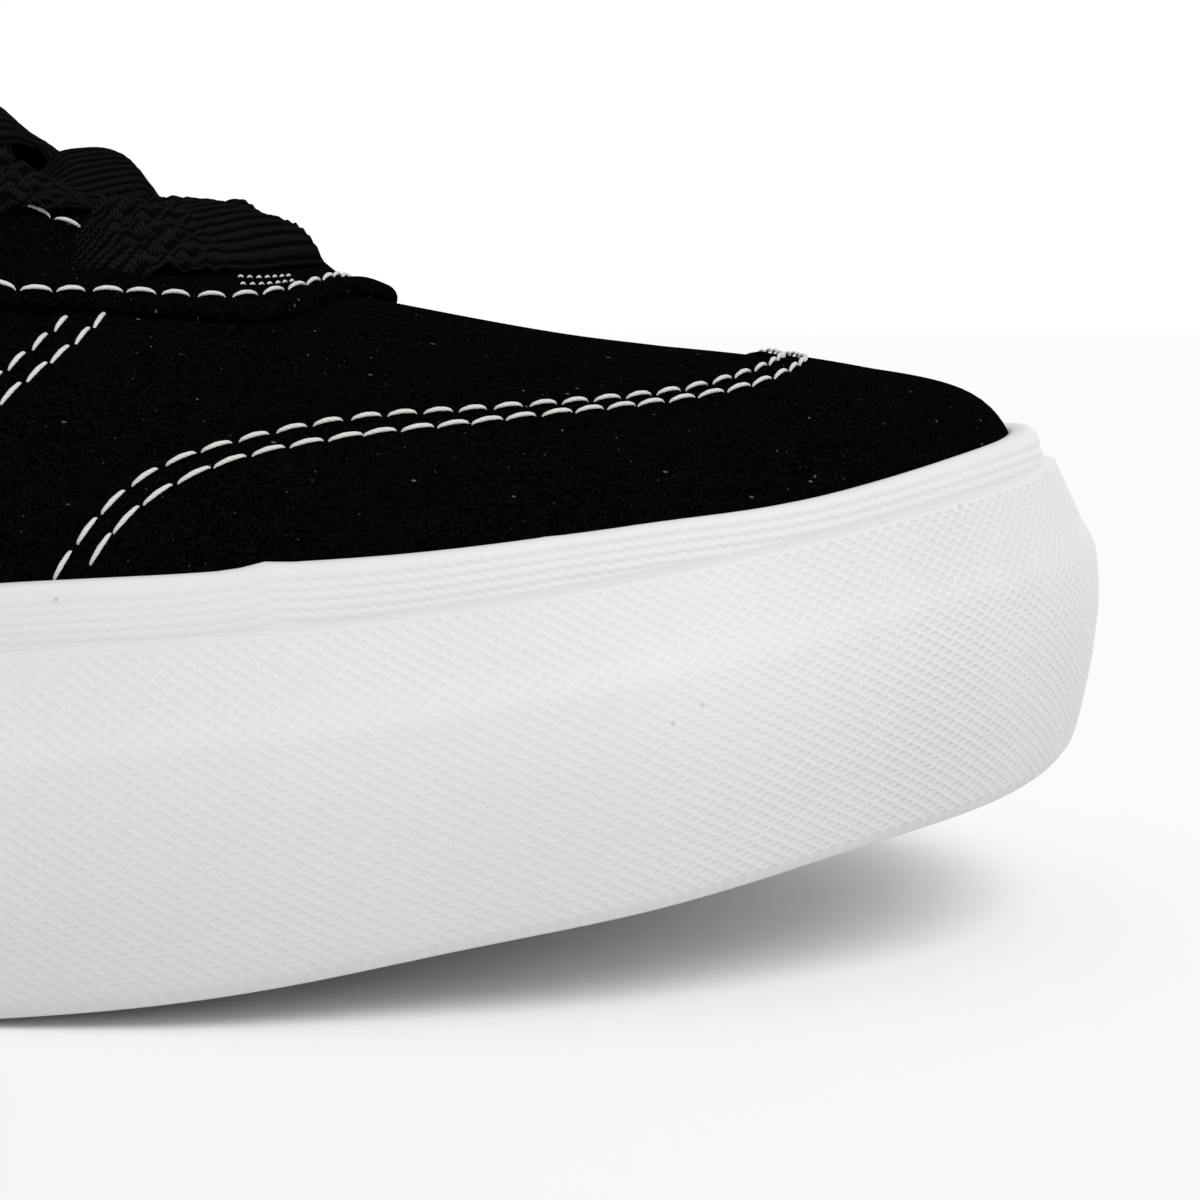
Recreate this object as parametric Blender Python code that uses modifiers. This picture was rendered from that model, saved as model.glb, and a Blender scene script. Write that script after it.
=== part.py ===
"""Low skate shoe for the right foot: suede upper, rubber cup wall, flat laces.

+X points to the toe, +Z up, and the outer (lateral) side of the foot is at -Y.
The shoe stands on the plane z = 0, with the middle of its box at the origin.
All sizes here are in millimetres. A mesh is scaled to metres when it is made.
"""

from collections import namedtuple

import bmesh
import bpy
import numpy as np
from mathutils import Vector
from mathutils.bvhtree import BVHTree

MM = 0.001
GAP = 0.3

# Driving sizes
LENGTH = 292.0
BALL_WIDTH = 110.0
INSTEP_HEIGHT = 95.0
TOE_SPRING = 18.8

# Sole
SOLE_REACH = 8.4
SPRING_START = 38.0
SPRING_POWER = 1.37
ARCH_RISE = 1.0
ARCH_BACK = -58.0
ARCH_FRONT = 2.0
OUTSOLE_THICK = 14.0
HEEL_LIFT = 4.0
HEEL_LIFT_BACK = -60.0
HEEL_LIFT_FRONT = 30.0
INSOLE_THICK = 5.0
WALL_LIFT = 0.5
WALL_HIGH_BALL = 31.3
WALL_HIGH_TOE = 29.0
BAND_LOWERS_AT = 40.0
BAND_LOWEST_AT = 112.0
STRIP_HIGH_BALL = 36.8
STRIP_HIGH_TOE = 31.5
STRIP_THICK = 2.0
STRIP_LOW = 0.06
BAND_SHARE_LIMIT = 0.9

# Upper
SHELL_THICK = 2.0
COLLAR_THICK = 6.5
WALL_BULGE = 2.5
STAY_THICK = 1.4
TONGUE_THICK = 6.0

# Laces
LACE_WIDE = 8.5
LACE_THICK = 1.5
LACE_GAP = 0.7
LACE_OVER = 0.5
EYELET_PAIRS = 6
EYELET_FIRST = 47.0
EYELET_PITCH = 10.5
EYELET_INSET = 6.5
LACE_TUCK = 2.5
BAR_BOW = 12.0
CROSS_BOW = 4.0

# Mesh density
RIBS_PER_SPAN = 3
UPPER_ROWS = 12
FINE_STEPS = 200
PLACE_STEP = 0.002
SEAM = 0.001
STAY_SEAM = 0.02

UPPER_LENGTH = LENGTH - 2 * SOLE_REACH
HALF_BALL = BALL_WIDTH / 2 - SOLE_REACH

# Sections of the upper from the back of the heel to the tip of the toe. Each rib rises from
# the foot line to the collar, the throat or the ridge of the vamp. Along is a share of the
# upper's length, out and reach of half the ball width, high, rise and drop of the instep height.
Section = namedtuple(
    "Section",
    "foot_along foot_lateral foot_medial top_along top_out top_high rise reach drop",
)
SECTIONS = [
    Section(0.000, 0.00, 0.00, 0.030, 0.00, 0.925, 0.36, 0.02, 0.30),
    Section(0.030, 0.47, 0.47, 0.052, 0.35, 0.920, 0.36, 0.04, 0.29),
    Section(0.085, 0.68, 0.68, 0.105, 0.55, 0.885, 0.35, 0.07, 0.26),
    Section(0.190, 0.745, 0.72, 0.195, 0.66, 0.800, 0.31, 0.10, 0.19),
    Section(0.330, 0.765, 0.66, 0.285, 0.69, 0.745, 0.30, 0.12, 0.16),
    Section(0.460, 0.83, 0.66, 0.375, 0.65, 0.800, 0.30, 0.16, 0.15),
    Section(0.580, 0.935, 0.80, 0.456, 0.47, 1.000, 0.31, 0.30, 0.16),
    Section(0.680, 1.00, 0.955, 0.580, 0.34, 0.837, 0.31, 0.36, 0.135),
    Section(0.745, 0.99, 1.003, 0.677, 0.275, 0.712, 0.30, 0.42, 0.11),
    Section(0.790, 0.95, 0.99, 0.722, 0.17, 0.677, 0.29, 0.46, 0.06),
    Section(0.840, 0.89, 0.955, 0.738, 0.00, 0.672, 0.28, 0.48, 0.02),
    Section(0.910, 0.70, 0.81, 0.835, 0.00, 0.617, 0.27, 0.42, 0.012),
    Section(0.965, 0.47, 0.60, 0.890, 0.00, 0.599, 0.27, 0.38, 0.022),
    Section(0.992, 0.21, 0.345, 0.915, 0.00, 0.591, 0.27, 0.34, 0.031),
    Section(1.000, -0.07, 0.07, 0.922, 0.00, 0.589, 0.27, 0.32, 0.035),
]
THROAT_CORNER = 6
THROAT_FRONT = 10
TOE_TIP = len(SECTIONS) - 1
COLLAR_PAD_END = 4.0
COLLAR_PAD_START = 5.6
PAD_UP_FROM = 0.45
PAD_UP_FULL = 0.85

# Face of the sole wall: share of its height, and share of its reach beyond the foot line
WallPoint = namedtuple("WallPoint", "high out")
WALL_FACE = [
    WallPoint(0.00, 0.66),
    WallPoint(0.04, 0.75),
    WallPoint(0.19, 0.87),
    WallPoint(0.36, 0.96),
    WallPoint(0.53, 1.00),
    WallPoint(0.70, 0.945),
    WallPoint(0.80, 0.77),
    WallPoint(0.90, 0.62),
    WallPoint(1.00, 0.47),
]
WALL_BACK_ROWS = 3

# Width of the eyestay, measured down each rib from the throat: place in the sections, millimetres
StayPoint = namedtuple("StayPoint", "place wide")
STAY_WIDTH = [
    StayPoint(6.0, 20.0),
    StayPoint(7.0, 21.0),
    StayPoint(8.0, 17.0),
    StayPoint(9.0, 14.0),
    StayPoint(10.0, 14.5),
    StayPoint(10.17, 9.5),
    StayPoint(10.29, 4.5),
    StayPoint(10.37, 0.0),
]
STAY_ROWS = 4
STRIP_ROWS = 4

# Tongue from under the vamp to its top: along the shoe, height of its ridge, half width, fall to its edge
TongueSection = namedtuple("TongueSection", "along high half_wide fall")
TONGUE = [
    TongueSection(70.0, 58.6, 14.0, 7.5),
    TongueSection(65.5, 60.3, 16.0, 10.0),
    TongueSection(60.0, 63.9, 18.0, 13.0),
    TongueSection(50.0, 69.5, 21.0, 18.0),
    TongueSection(36.0, 76.1, 24.0, 19.5),
    TongueSection(22.0, 82.5, 25.0, 18.5),
    TongueSection(0.0, 92.6, 25.5, 17.5),
    TongueSection(-12.0, 98.3, 23.0, 15.0),
    TongueSection(-24.0, 106.0, 22.5, 12.0),
    TongueSection(-33.0, 114.5, 23.5, 10.0),
]
TONGUE_STEPS = 18
TONGUE_ROWS = 8
LACE_STEPS = 12
LACE_ROWS = 3
DRAPE_CELL = 1.0
DRAPE_REACH = 3
DRAPE_ALONG = (-25.0, 80.0)
DRAPE_ACROSS = (-35.0, 35.0)

# Colours: base colour and roughness
RUBBER_WHITE = ((0.82, 0.83, 0.85, 1.0), 0.55)
SUEDE_BLACK = ((0.010, 0.010, 0.011, 1.0), 0.95)
CLOTH_BLACK = ((0.014, 0.014, 0.016, 1.0), 0.90)
LACE_BLACK = ((0.018, 0.018, 0.020, 1.0), 0.85)


def monotone(knots, values, at):
    """Smooth curve through the values that never overshoots them."""
    knots = np.asarray(knots, float)
    values = np.asarray(values, float)
    at = np.asarray(at, float)
    steps = np.diff(knots)
    slopes = np.diff(values) / steps
    tangents = np.zeros_like(values)
    before = slopes[:-1]
    after = slopes[1:]
    same_way = before * after > 0
    mean = np.where(same_way, 2 * before * after / np.where(same_way, before + after, 1), 0)
    tangents[1:-1] = mean
    tangents[0] = slopes[0]
    tangents[-1] = slopes[-1]
    span = np.clip(np.searchsorted(knots, at, side="right") - 1, 0, len(steps) - 1)
    f = (at - knots[span]) / steps[span]
    h = steps[span]
    start = values[span] * (1 + 2 * f) * (1 - f) ** 2 + h * tangents[span] * f * (1 - f) ** 2
    end = values[span + 1] * f**2 * (3 - 2 * f) + h * tangents[span + 1] * f**2 * (f - 1)
    return start + end


def smooth(low, high, at):
    """Soft step from 0 at low to 1 at high."""
    f = np.clip((np.asarray(at, float) - low) / (high - low), 0, 1)
    return f * f * (3 - 2 * f)


class ClosedCurve:
    """Smooth closed curve through plan points, one point to each whole place."""

    def __init__(self, points):
        self.points = np.asarray(points, float)
        count = len(self.points)
        ahead = np.roll(self.points, -1, axis=0)
        self.chords = np.linalg.norm(ahead - self.points, axis=1)
        before = np.roll(self.chords, 1)
        rule = np.zeros((count, count))
        pull = np.zeros((count, 2))
        slopes = (ahead - self.points) / self.chords[:, None]
        for i in range(count):
            rule[i, i - 1] += before[i]
            rule[i, i] += 2 * (before[i] + self.chords[i])
            rule[i, (i + 1) % count] += self.chords[i]
            pull[i] = 6 * (slopes[i] - slopes[i - 1])
        self.bends = np.linalg.solve(rule, pull)

    def at(self, place):
        count = len(self.points)
        span = np.floor(place).astype(int) % count
        after = (span + 1) % count
        chord = self.chords[span][:, None]
        f = (place - np.floor(place))[:, None]
        straight = self.points[span] * (1 - f) + self.points[after] * f
        sag = (1 - f) * ((1 - f) ** 2 - 1) * self.bends[span] + f * (f**2 - 1) * self.bends[after]
        return straight + chord**2 / 6 * sag

    def outward(self, place):
        run = self.at(place + PLACE_STEP) - self.at(place - PLACE_STEP)
        run /= np.linalg.norm(run, axis=1)[:, None]
        return np.stack([run[:, 1], -run[:, 0]], axis=1)


# A place runs round the foot line: 0 at the back of the heel, then the outer side,
# TOE_TIP at the toe, and the inner side back to the heel at LOOP.
LOOP = 2 * TOE_TIP
FIRST_PLACE = -THROAT_FRONT


def section_at(index):
    """Section at a whole place, and which side of the foot it is on."""
    index = index % LOOP
    if index <= TOE_TIP:
        return SECTIONS[index], -1
    return SECTIONS[LOOP - index], 1


def foot_points():
    points = []
    for index in range(LOOP):
        row, side = section_at(index)
        out = row.foot_lateral if side < 0 else row.foot_medial
        points.append(((row.foot_along - 0.5) * UPPER_LENGTH, side * out * HALF_BALL))
    return points


FOOT_LINE = ClosedCurve(foot_points())


def underside(x):
    """Height of the sole's underside: flat heel and forefoot, slight arch, toe spring."""
    x = np.asarray(x, float)
    share = np.clip((x - SPRING_START) / (LENGTH / 2 - SPRING_START), 0, None)
    spring = TOE_SPRING * share**SPRING_POWER
    middle = (ARCH_BACK + ARCH_FRONT) / 2
    arch = smooth(ARCH_BACK, middle, x) * (1 - smooth(middle, ARCH_FRONT, x))
    return spring + ARCH_RISE * arch


def sole_top(x):
    """Height of the outsole's upper face, higher under the heel."""
    return underside(x) + OUTSOLE_THICK + HEEL_LIFT * (1 - smooth(HEEL_LIFT_BACK, HEEL_LIFT_FRONT, x))


def toward_toe(x, at_ball, at_toe):
    return at_ball + (at_toe - at_ball) * smooth(BAND_LOWERS_AT, BAND_LOWEST_AT, x)


def table_column(name, places):
    """One column of the sections, followed along the rim of the opening and then the ridge."""
    places = np.asarray(places, float)
    rim = np.arange(-THROAT_FRONT, THROAT_FRONT + 1)
    ridge = np.arange(THROAT_FRONT, LOOP - THROAT_FRONT + 1)
    found = np.zeros_like(places)
    for knots in (rim, ridge):
        values = []
        for index in knots:
            row, side = section_at(int(index))
            value = getattr(row, name)
            values.append(side * value if name == "top_out" else value)
        inside = (places >= knots[0]) & (places <= knots[-1])
        found[inside] = monotone(knots, values, places[inside])
    return found


def wrap(places):
    """Brings places into the range that starts at the inner side of the throat's front."""
    return (np.asarray(places, float) - FIRST_PLACE) % LOOP + FIRST_PLACE


def upper_surface(places, shares):
    """Outer face of the upper: a rib at each place, from 0 at the foot line to 1 at its top."""
    places = wrap(places)
    foot = FOOT_LINE.at(places)
    out = FOOT_LINE.outward(places)
    base = np.column_stack([foot, sole_top(foot[:, 0]) + GAP])
    top = np.column_stack([
        (table_column("top_along", places) - 0.5) * UPPER_LENGTH,
        table_column("top_out", places) * HALF_BALL,
        table_column("top_high", places) * INSTEP_HEIGHT,
    ])
    outward = np.column_stack([out, np.zeros(len(out))])
    up = np.array([0.0, 0.0, 1.0])
    lower = base + WALL_BULGE * outward + table_column("rise", places)[:, None] * INSTEP_HEIGHT * up
    upper = top + table_column("reach", places)[:, None] * HALF_BALL * outward
    upper = upper - table_column("drop", places)[:, None] * INSTEP_HEIGHT * up
    v = np.asarray(shares, float)[..., None]
    if v.ndim == 2:
        v = v[None]
    points = (1 - v) ** 3 * base[:, None] + 3 * v * (1 - v) ** 2 * lower[:, None]
    return points + 3 * v**2 * (1 - v) * upper[:, None] + v**3 * top[:, None]


def upper_normals(places, shares):
    """Outward direction of the upper's face."""
    v = np.asarray(shares, float)
    v = np.broadcast_to(v, (len(places), v.shape[-1]))
    low = np.clip(v - PLACE_STEP, 0, 1)
    high = np.clip(v + PLACE_STEP, 0, 1)
    climb = upper_surface(places, high) - upper_surface(places, low)
    places = np.asarray(places, float)
    run = upper_surface(places + PLACE_STEP, v) - upper_surface(places - PLACE_STEP, v)
    normal = np.cross(run, climb)
    return normal / np.linalg.norm(normal, axis=2)[..., None]


def offset_surface(places, shares, distance):
    return upper_surface(places, shares) + distance * upper_normals(places, shares)


def rib_places():
    return FIRST_PLACE + np.arange(LOOP * RIBS_PER_SPAN) / RIBS_PER_SPAN


def share_at_height(places, heights):
    """Share of each rib where it first reaches a height above the floor."""
    samples = np.linspace(0, BAND_SHARE_LIMIT, FINE_STEPS)
    high = upper_surface(places, samples)[..., 2]
    found = [np.interp(h, column, samples) for h, column in zip(heights, high)]
    return np.array(found)


def share_below_top(places, widths):
    """Share of each rib at a distance down from its top."""
    samples = np.linspace(0, 1, FINE_STEPS)
    ribs = upper_surface(places, samples)
    steps = np.linalg.norm(np.diff(ribs, axis=1), axis=2)
    found = []
    for width, row in zip(widths, steps):
        below = np.concatenate([[0], np.cumsum(row[::-1])])
        found.append(1 - np.interp(width, below, samples))
    return np.array(found)


def new_object(name, bm, finish, collection, seam=SEAM):
    """Makes the mesh object, in metres, with its own material."""
    bmesh.ops.remove_doubles(bm, verts=bm.verts, dist=seam)
    bmesh.ops.scale(bm, vec=Vector((MM, MM, MM)), verts=bm.verts)
    mesh = bpy.data.meshes.new(name)
    bm.to_mesh(mesh)
    bm.free()
    mesh.shade_smooth()
    obj = bpy.data.objects.new(name, mesh)
    collection.objects.link(obj)
    colour, roughness = finish
    material = bpy.data.materials.new(name)
    material.use_nodes = True
    shader = material.node_tree.nodes["Principled BSDF"]
    shader.inputs["Base Color"].default_value = colour
    shader.inputs["Roughness"].default_value = roughness
    shader.inputs["Metallic"].default_value = 0.0
    mesh.materials.append(material)
    return obj


def grid_mesh(points, close_rows=False, close_columns=False):
    """Faces through a grid of points. Columns run round the shoe, rows run up."""
    bm = bmesh.new()
    verts = [[bm.verts.new(p) for p in column] for column in points]
    columns = len(verts)
    rows = len(verts[0])
    for i in range(columns if close_columns else columns - 1):
        for j in range(rows if close_rows else rows - 1):
            here = verts[i]
            beside = verts[(i + 1) % columns]
            above = (j + 1) % rows
            bm.faces.new((here[j], beside[j], beside[above], here[above]))
    return bm


def add_solidify(obj, thickness, offset):
    shell = obj.modifiers.new("wall", "SOLIDIFY")
    shell.thickness = thickness * MM
    shell.offset = offset
    shell.use_even_offset = False
    return shell


def make_slab(name, inset, low, high, finish, collection):
    """Solid between two heights over the whole foot line, moved in or out by the inset."""
    count = TOE_TIP * RIBS_PER_SPAN
    places = np.arange(count + 1) / RIBS_PER_SPAN
    lateral = FOOT_LINE.at(places) - inset * FOOT_LINE.outward(places)
    medial = FOOT_LINE.at(LOOP - places) - inset * FOOT_LINE.outward(LOOP - places)
    bm = bmesh.new()
    rings = []
    for left, right in zip(lateral, medial):
        ring = [bm.verts.new((p[0], p[1], f(p[0]))) for f in (low, high) for p in (left, right)]
        rings.append(ring)
    for here, ahead in zip(rings[:-1], rings[1:]):
        for a, b in ((0, 2), (2, 3), (3, 1), (1, 0)):
            bm.faces.new((here[a], here[b], ahead[b], ahead[a]))
    bmesh.ops.remove_doubles(bm, verts=bm.verts, dist=SEAM)
    bmesh.ops.recalc_face_normals(bm, faces=bm.faces)
    return new_object(name, bm, finish, collection)


def make_outsole(collection):
    inset = -(STRIP_THICK + GAP)
    return make_slab("outsole", inset, underside, sole_top, RUBBER_WHITE, collection)


def make_insole(collection):
    def low(x):
        return sole_top(x) + GAP

    def high(x):
        return sole_top(x) + GAP + INSOLE_THICK

    return make_slab("insole", SHELL_THICK + GAP, low, high, CLOTH_BLACK, collection)


def make_upper(collection):
    places = rib_places()
    shares = np.linspace(0, 1, UPPER_ROWS)
    points = upper_surface(places, shares)
    bm = grid_mesh(points, close_columns=True)
    obj = new_object("upper", bm, SUEDE_BLACK, collection)
    # The collar is padded, so its wall is thicker than the vamp's
    group = obj.vertex_groups.new(name="padding")
    pad_round = 1 - smooth(COLLAR_PAD_END, COLLAR_PAD_START, np.abs(places))
    pad_up = smooth(PAD_UP_FROM, PAD_UP_FULL, shares)
    where = {}
    for column, around in zip(points, pad_round):
        for point, up in zip(column, pad_up):
            where[tuple(np.round(point, 2))] = float(around * up)
    for vertex in obj.data.vertices:
        key = tuple(np.round(np.array(vertex.co) / MM, 2))
        group.add([vertex.index], where.get(key, 0.0), "REPLACE")
    shell = add_solidify(obj, COLLAR_THICK, -1)
    shell.vertex_group = group.name
    shell.thickness_vertex_group = SHELL_THICK / COLLAR_THICK
    return obj


def make_strip(collection):
    """Thin upper band, from the outsole up to its own edge on the suede."""
    places = rib_places()
    foot_x = FOOT_LINE.at(places)[:, 0]
    top = underside(foot_x) + toward_toe(foot_x, STRIP_HIGH_BALL, STRIP_HIGH_TOE)
    top_share = share_at_height(places, top)
    shares = top_share[:, None] * np.linspace(STRIP_LOW, 1, STRIP_ROWS)[None]
    bm = grid_mesh(offset_surface(places, shares, GAP), close_columns=True)
    obj = new_object("toe_strip", bm, RUBBER_WHITE, collection)
    add_solidify(obj, STRIP_THICK, 1)
    return obj


def make_wall(collection):
    """Thick lower band: its back follows the strip, its face is a barrel."""
    places = rib_places()
    foot = FOOT_LINE.at(places)
    out = FOOT_LINE.outward(places)
    foot_x = foot[:, 0]
    low = underside(foot_x) + WALL_LIFT
    high = underside(foot_x) + toward_toe(foot_x, WALL_HIGH_BALL, WALL_HIGH_TOE)
    top_share = share_at_height(places, high)
    shares = top_share[:, None] * np.linspace(0, 1, WALL_BACK_ROWS)[None]
    back = offset_surface(places, shares, STRIP_THICK + 2 * GAP)
    loops = []
    for i in range(len(places)):
        face = []
        for row in WALL_FACE:
            plan = foot[i] + row.out * SOLE_REACH * out[i]
            face.append((plan[0], plan[1], low[i] + row.high * (high[i] - low[i])))
        plan = foot[i] + (STRIP_THICK + 2 * GAP) * out[i]
        loops.append([(plan[0], plan[1], low[i])] + face + list(back[i][::-1]))
    bm = grid_mesh(loops, close_rows=True, close_columns=True)
    bmesh.ops.recalc_face_normals(bm, faces=bm.faces)
    return new_object("sole_wall", bm, RUBBER_WHITE, collection)


def make_stay(collection):
    """Overlay round the throat, from its outer edge up to the rim or the ridge."""
    knots = [row.place for row in STAY_WIDTH]
    widths = [row.wide for row in STAY_WIDTH]
    steps = int((knots[-1] - knots[0]) * RIBS_PER_SPAN)
    outer = np.append(knots[0] + np.arange(steps + 1) / RIBS_PER_SPAN, knots[-1])
    places = np.concatenate([outer, LOOP - outer[-2::-1]])
    side_widths = monotone(knots, widths, outer)
    all_widths = np.concatenate([side_widths, side_widths[-2::-1]])
    edge = share_below_top(places, all_widths)
    shares = edge[:, None] + (1 - edge)[:, None] * np.linspace(0, 1, STAY_ROWS + 1)[None]
    bm = grid_mesh(offset_surface(places, shares, GAP))
    obj = new_object("eyestay", bm, SUEDE_BLACK, collection, seam=STAY_SEAM)
    add_solidify(obj, STAY_THICK, 1)
    return obj


def make_tongue(collection):
    reversed_rows = TONGUE[::-1]
    along = np.linspace(TONGUE[-1].along, TONGUE[0].along, TONGUE_STEPS)
    knots = [row.along for row in reversed_rows]
    columns = []
    for x in along:
        high, half_wide, fall = (
            float(monotone(knots, [getattr(row, name) for row in reversed_rows], x))
            for name in ("high", "half_wide", "fall")
        )
        across = np.linspace(-1, 1, TONGUE_ROWS + 1)
        columns.append([(x, w * half_wide, high - fall * w * w) for w in across])
    bm = grid_mesh(columns)
    obj = new_object("tongue", bm, CLOTH_BLACK, collection)
    add_solidify(obj, TONGUE_THICK, -1)
    return obj


def eyelet_point(index, side):
    """Middle of an eyelet in plan, on the eyestay."""
    along = EYELET_FIRST - EYELET_PITCH * index
    places = np.linspace(THROAT_CORNER, THROAT_FRONT, FINE_STEPS)
    rim = upper_surface(places, np.array([1.0]))[:, 0]
    place = np.interp(along, rim[:, 0], places)
    share = share_below_top([place], [EYELET_INSET])
    point = upper_surface(np.array([place]), share[None])[0, 0]
    return np.array([point[0], side * abs(point[1])])


def rim_point(index, side):
    """Place in plan inside the throat, where a lace comes out from under the eyestay."""
    along = EYELET_FIRST - EYELET_PITCH * index
    places = np.linspace(THROAT_CORNER, THROAT_FRONT, FINE_STEPS)
    rim = upper_surface(places, np.array([1.0]))[:, 0]
    out = np.interp(along, rim[:, 0], np.abs(rim[:, 1]))
    return np.array([along, side * (out - LACE_TUCK)])


def surface_trees(objects):
    graph = bpy.context.evaluated_depsgraph_get()
    graph.update()
    return [BVHTree.FromObject(obj, graph) for obj in objects]


def over_disc(values, radius, combine):
    """Combines each value of a grid with its neighbours within a radius, in cells."""
    steps = range(-radius, radius + 1)
    shifts = [(i, j) for i in steps for j in steps if i * i + j * j <= radius * radius]
    return combine([np.roll(values, shift, axis=(0, 1)) for shift in shifts], axis=0)


class Drape:
    """Smooth height over the throat that stays clear of every piece under it."""

    def __init__(self, pieces):
        self.x = np.arange(*DRAPE_ALONG, DRAPE_CELL)
        self.y = np.arange(*DRAPE_ACROSS, DRAPE_CELL)
        trees = surface_trees(pieces)
        down = Vector((0, 0, -1))
        high = np.zeros((len(self.x), len(self.y)))
        for i, x in enumerate(self.x):
            for j, y in enumerate(self.y):
                start = Vector((x * MM, y * MM, 1.0))
                hits = [tree.ray_cast(start, down)[0] for tree in trees]
                high[i, j] = max([hit.z / MM for hit in hits if hit], default=0.0)
        raised = over_disc(high, DRAPE_REACH, np.max)
        self.high = over_disc(raised, DRAPE_REACH, np.mean)

    def at(self, place):
        f = (place[0] - self.x[0]) / DRAPE_CELL
        g = (place[1] - self.y[0]) / DRAPE_CELL
        i = int(f)
        j = int(g)
        near = self.high[i:i + 2, j:j + 2]
        along = near[0] * (1 - (f - i)) + near[1] * (f - i)
        return along[0] * (1 - (g - j)) + along[1] * (g - j)


def draped_lace(name, start, end, bow, gap, drape, collection):
    """Flat lace laid over the tongue and the eyestay between two places in plan."""
    f = np.linspace(0, 1, LACE_STEPS)
    path = start[None] * (1 - f[:, None]) + end[None] * f[:, None]
    path[:, 0] += bow * 4 * f * (1 - f)
    run = np.gradient(path, axis=0)
    run /= np.linalg.norm(run, axis=1)[:, None]
    aside = np.stack([-run[:, 1], run[:, 0]], axis=1)
    columns = []
    for point, left in zip(path, aside):
        places = [point + w * LACE_WIDE * left for w in np.linspace(-0.5, 0.5, LACE_ROWS)]
        columns.append([(*place, drape.at(place) + gap) for place in places])
    bm = grid_mesh(columns)
    obj = new_object(name, bm, LACE_BLACK, collection)
    add_solidify(obj, LACE_THICK, 1)
    return obj


def make_laces(collection, cutters, below):
    """One bar in front, then the crossings, each laid over what is under it."""
    start = eyelet_point(0, -1)
    end = eyelet_point(0, 1)
    bar = draped_lace("lace_bar", start, end, BAR_BOW, LACE_GAP, Drape(below), collection)
    below = below + [bar]
    for index in range(EYELET_PAIRS - 1):
        name = f"lace_cross_{index + 1}"
        drape = Drape(below)
        pair = []
        for side, group, ending in ((1, collection, ""), (-1, cutters, "_joined")):
            start = rim_point(index, side)
            end = eyelet_point(index + 1, -side)
            gap = LACE_GAP if side > 0 else LACE_GAP + LACE_OVER
            pair.append(draped_lace(name + ending, start, end, CROSS_BOW, gap, drape, group))
        one, other = pair
        other.hide_render = True
        other.display_type = "WIRE"
        join = one.modifiers.new("crossing", "BOOLEAN")
        join.operation = "UNION"
        join.solver = "EXACT"
        join.object = other
        below = below + [one]


def new_collection(name):
    collection = bpy.data.collections.new(name)
    bpy.context.scene.collection.children.link(collection)
    return collection


def main():
    for obj in list(bpy.data.objects):
        bpy.data.objects.remove(obj, do_unlink=True)
    parts = new_collection("skate_shoe")
    cutters = new_collection("skate_shoe_joiners")
    make_outsole(parts)
    make_insole(parts)
    upper = make_upper(parts)
    make_strip(parts)
    make_wall(parts)
    stay = make_stay(parts)
    tongue = make_tongue(parts)
    make_laces(parts, cutters, [upper, stay, tongue])


main()
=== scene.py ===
"""Looks of the low skate shoe for the right foot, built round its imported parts.

+X points to the toe, +Z up, and the outer (lateral) side of the foot is at -Y.
All sizes here are in millimetres. A mesh is scaled to metres when it is made.
"""

from collections import namedtuple

import bmesh
import bpy
import numpy as np
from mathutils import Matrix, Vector
from mathutils.bvhtree import BVHTree
from mathutils.kdtree import KDTree


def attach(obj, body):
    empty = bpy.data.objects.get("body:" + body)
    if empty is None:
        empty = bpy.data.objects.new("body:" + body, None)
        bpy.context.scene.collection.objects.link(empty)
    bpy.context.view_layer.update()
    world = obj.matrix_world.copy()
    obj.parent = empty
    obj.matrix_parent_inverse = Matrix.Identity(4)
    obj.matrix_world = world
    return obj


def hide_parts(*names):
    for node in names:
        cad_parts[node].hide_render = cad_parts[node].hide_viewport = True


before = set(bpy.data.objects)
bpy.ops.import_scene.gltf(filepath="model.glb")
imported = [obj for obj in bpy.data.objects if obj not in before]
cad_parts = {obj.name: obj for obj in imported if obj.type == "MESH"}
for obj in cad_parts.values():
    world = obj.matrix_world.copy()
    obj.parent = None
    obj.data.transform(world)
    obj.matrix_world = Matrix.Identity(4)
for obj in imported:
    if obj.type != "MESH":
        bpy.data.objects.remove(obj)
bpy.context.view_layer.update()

MM = 0.001
GAP = 0.3
SEED = 7
TINY = 0.001
TURN = 2 * np.pi
FINE_STEPS = 200
PLACE_STEP = 0.002

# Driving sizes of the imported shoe
LENGTH = 292.0
BALL_WIDTH = 110.0
INSTEP_HEIGHT = 95.0
TOE_SPRING = 18.8
SOLE_REACH = 8.4
SPRING_START = 38.0
SPRING_POWER = 1.37
ARCH_RISE = 1.0
ARCH_BACK = -58.0
ARCH_FRONT = 2.0
OUTSOLE_THICK = 14.0
HEEL_LIFT = 4.0
HEEL_LIFT_BACK = -60.0
HEEL_LIFT_FRONT = 30.0
INSOLE_THICK = 5.0
WALL_LIFT = 0.5
WALL_HIGH_BALL = 31.3
WALL_HIGH_TOE = 29.0
BAND_LOWERS_AT = 40.0
BAND_LOWEST_AT = 112.0
STRIP_HIGH_BALL = 36.8
STRIP_HIGH_TOE = 31.5
STRIP_THICK = 2.0
BAND_SHARE_LIMIT = 0.9
SHELL_THICK = 2.0
COLLAR_THICK = 6.5
WALL_BULGE = 2.5
TONGUE_THICK = 6.0
LACE_WIDE = 8.5
LACE_THICK = 1.5
EYELET_PAIRS = 6
UPPER_LENGTH = LENGTH - 2 * SOLE_REACH
HALF_BALL = BALL_WIDTH / 2 - SOLE_REACH

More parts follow.
